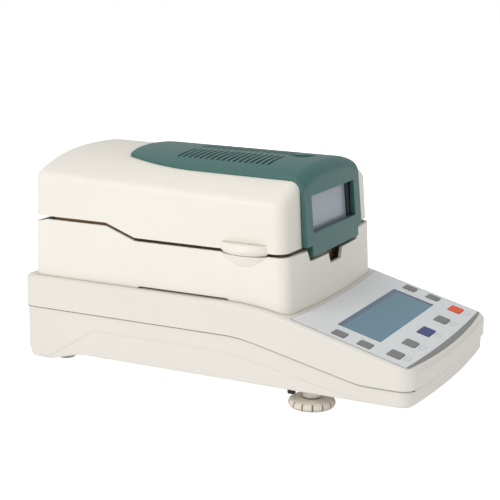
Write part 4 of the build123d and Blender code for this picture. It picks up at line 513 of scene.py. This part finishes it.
print_band(
    "overlay_stripe",
    bowed(*STRIPE_REAR_EDGE),
    bowed(*STRIPE_FRONT_EDGE),
    STRIPE,
    closed=False,
)
print_band("overlay_outline", film_outline(-FILM_LINE), film_outline(0.0), OUTLINE)
for number, key_x in enumerate(KEY_ROW_X, 1):
    place = (key_x + LABEL_SIDE, KEY_ROW_Y - LABEL_AHEAD)
    print_band(
        f"label_box_{number}",
        label_outline(*place, 0.0),
        label_outline(*place, LABEL_LINE),
        OUTLINE,
    )


# Shadow line where the two shells of the base meet

SIDE_STEPS_MM = range(-170, 171, 4)


def joint_z(y):
    """Height of the joint line at a plan position."""
    rear_y, rear_radius = JOINT_REAR_BEND
    front_y, front_radius = JOINT_FRONT_BEND
    slope = (JOINT_REAR_Z - JOINT_FRONT_Z) / (rear_y - front_y)
    tangent = math.tan(math.atan(slope) / 2)
    turn_in = math.cos(math.atan(slope))
    rear_start = rear_y + rear_radius * tangent
    rear_end = rear_y - rear_radius * tangent * turn_in
    front_start = front_y + front_radius * tangent * turn_in
    front_end = front_y - front_radius * tangent
    if y >= rear_start:
        return JOINT_REAR_Z
    if y >= rear_end:
        return JOINT_REAR_Z - rear_radius + math.sqrt(rear_radius**2 - (rear_start - y) ** 2)
    if y >= front_start:
        return JOINT_REAR_Z + slope * (y - rear_y)
    if y >= front_end:
        return JOINT_FRONT_Z + front_radius - math.sqrt(front_radius**2 - (y - front_end) ** 2)
    return JOINT_FRONT_Z


def base_ring(inset, drop):
    """Points round the base, just under the joint line."""
    half = BASE_HALF - inset
    front = bowed(half, BASE_FRONT + inset, BASE_BOW)
    side = [(half, y / 1000) for y in SIDE_STEPS_MM]
    rear = [(half, BASE_REAR - inset), (-half, BASE_REAR - inset)]
    outline = front + side + rear + [(-x, y) for x, y in reversed(side)]
    return [
        Vector((x, y, joint_z(y) - drop)) for x, y in rounded(outline, BASE_CORNER - inset, 10)
    ]


SEAM_INNER = 0.0014
SEAM_OUTER = 0.0006
SEAM_TOP = 0.00002
SEAM_FOOT = 0.0006
band(
    "shell_seam",
    [
        base_ring(SEAM_INNER, SEAM_TOP),
        base_ring(SEAM_OUTER, SEAM_TOP),
        base_ring(SEAM_OUTER, SEAM_FOOT),
        base_ring(SEAM_INNER, SEAM_FOOT),
    ],
    "case", SEAM,
)


# Baffles under the vents, and the filament in the lamp

BAFFLE_TOP = 0.0003
BAFFLE_FOOT = 0.0007
BAFFLE_SPANS = {
    "vent_baffle_left": (-0.0405, -0.0085),
    "vent_baffle_right": (0.0045, 0.0362),
}


def crown_z(x, y):
    """Height of the lid's top skin under the cover."""
    share = (y - CROWN_FRONT[0]) / (CROWN_REAR[0] - CROWN_FRONT[0])
    centre = CROWN_FRONT[1] + (CROWN_REAR[1] - CROWN_FRONT[1]) * share
    side = CROWN_FRONT[2] + (CROWN_REAR[2] - CROWN_FRONT[2]) * share
    return centre - (centre - side) * abs(x / CROWN_HALF) ** CROWN_FULLNESS


def baffle(name, low_x, high_x, steps=12):
    """A thin sheet that follows the crown a little below the vent slots."""
    rings = []
    for along, drop in ((0, BAFFLE_TOP), (1, BAFFLE_TOP), (1, BAFFLE_FOOT), (0, BAFFLE_FOOT)):
        y = VENT_Y + VENT_HALF_LENGTH * (2 * along - 1)
        xs = [low_x + (high_x - low_x) * step / steps for step in range(steps + 1)]
        rings.append([Vector((x, y, crown_z(x, y) - drop)) for x in xs])
    return band(name, rings, "lid", GREEN, closed=False)


for name, span in BAFFLE_SPANS.items():
    baffle(name, *span)


def lamp_ring(radius, lift, steps=60):
    """Points round the ring lamp at a radius, lifted off its middle plane."""
    return [
        Vector((
            radius * math.cos(math.tau * step / steps),
            CELL_Y + radius * math.sin(math.tau * step / steps),
            LAMP_Z + lift,
        ))
        for step in range(steps)
    ]


FILAMENT = 0.0006
band(
    "lamp_filament",
    [
        lamp_ring(LAMP_RADIUS - FILAMENT, 0.0),
        lamp_ring(LAMP_RADIUS, FILAMENT),
        lamp_ring(LAMP_RADIUS + FILAMENT, 0.0),
        lamp_ring(LAMP_RADIUS, -FILAMENT),
    ],
    "lid", TUNGSTEN,
)


# Camera, lights and floor

CAMERA_PLACE = Vector((-1.0592, -0.5208, 0.3813))
YAW = math.radians(-63.418)
PITCH = math.radians(-12.838)
ROLL = math.radians(-0.461)
LENS_MM = 94.78
SENSOR_MM = 36.0
VIEW_REACH = 20.0
forward = Vector((
    -math.sin(YAW) * math.cos(PITCH), math.cos(YAW) * math.cos(PITCH), math.sin(PITCH)
))
right = forward.cross(Vector((0, 0, 1))).normalized()
up = right.cross(forward)
turn = Matrix.Rotation(ROLL, 3, forward)
axes = Matrix((turn @ right, turn @ up, -forward)).transposed()
camera_data = bpy.data.cameras.new("camera")
camera_data.lens = LENS_MM
camera_data.sensor_width = SENSOR_MM
camera_data.clip_end = VIEW_REACH
camera = bpy.data.objects.new("camera", camera_data)
camera.matrix_world = Matrix.Translation(CAMERA_PLACE) @ axes.to_4x4()
bpy.context.scene.collection.objects.link(camera)
bpy.context.scene.camera = camera
bpy.context.scene.view_settings.view_transform = "Standard"


def area_light(name, place, size, power, color=(1, 1, 1)):
    """A soft round lamp aimed at the middle of the object."""
    data = bpy.data.lights.new(name, "AREA")
    data.shape = "DISK"
    data.size = size
    data.energy = power
    data.color = color
    light = bpy.data.objects.new(name, data)
    light.location = place
    aim = Vector(MIDDLE) - Vector(place)
    light.rotation_euler = aim.to_track_quat("-Z", "Y").to_euler()
    bpy.context.scene.collection.objects.link(light)


MIDDLE = (0, 0, 0.1)
area_light("key_light", (-2.2, 0.6, 1.7), 1.6, 34, (1.0, 0.985, 0.955))
area_light("front_fill", (0.4, -2.6, 1.2), 1.6, 7)
area_light("top_light", (0.3, 0.4, 2.6), 1.8, 10)

WORLD_LEVEL = 0.44
world = bpy.data.worlds.new("studio")
bpy.context.scene.world = world
world.use_nodes = True
tree = world.node_tree
background = tree.nodes["Background"]
path = tree.nodes.new("ShaderNodeLightPath")
seen = tree.nodes.new("ShaderNodeMath")
seen.operation = "MAXIMUM"
tree.links.new(path.outputs["Is Camera Ray"], seen.inputs[0])
tree.links.new(path.outputs["Is Transmission Ray"], seen.inputs[1])
level = tree.nodes.new("ShaderNodeMapRange")
level.inputs["To Min"].default_value = WORLD_LEVEL
level.inputs["To Max"].default_value = 1.0
tree.links.new(seen.outputs[0], level.inputs["Value"])
tree.links.new(level.outputs["Result"], background.inputs["Strength"])
background.inputs["Color"].default_value = (1, 1, 1, 1)

FLOOR_REACH = 6.0
FLOOR_GLOW = 0.85
FLOOR_BOUNCE = 0.18
GLOW_RANGE = (0.3, 1.4)
floor_mesh = bpy.data.meshes.new("floor")
floor_mesh.from_pydata(
    [
        (-FLOOR_REACH, -FLOOR_REACH, 0), (FLOOR_REACH, -FLOOR_REACH, 0),
        (FLOOR_REACH, FLOOR_REACH, 0), (-FLOOR_REACH, FLOOR_REACH, 0),
    ],
    [], [(0, 1, 2, 3)],
)
floor = bpy.data.objects.new("floor", floor_mesh)
bpy.context.scene.collection.objects.link(floor)
floor_paint = Paint("floor", (0.9, 0.9, 0.9), 0.9)
floor_paint.mottle(2.0, 0.05)
floor_path = floor_paint.node("ShaderNodeLightPath")
away = floor_paint.node("ShaderNodeVectorMath", operation="LENGTH")
floor_paint.link(floor_paint.coords, away.inputs[0])
glow_here = floor_paint.ramp(away.outputs["Value"], *GLOW_RANGE, FLOOR_GLOW, 1.0)
floor_seen = floor_paint.math("MULTIPLY", floor_path.outputs["Is Camera Ray"], glow_here)
floor_glow = floor_paint.math("MAXIMUM", floor_seen, FLOOR_BOUNCE)
floor_paint.shader.inputs["Emission Color"].default_value = (1, 1, 1, 1)
floor_paint.link(floor_glow, floor_paint.shader.inputs["Emission Strength"])
floor_mesh.materials.append(floor_paint.material)
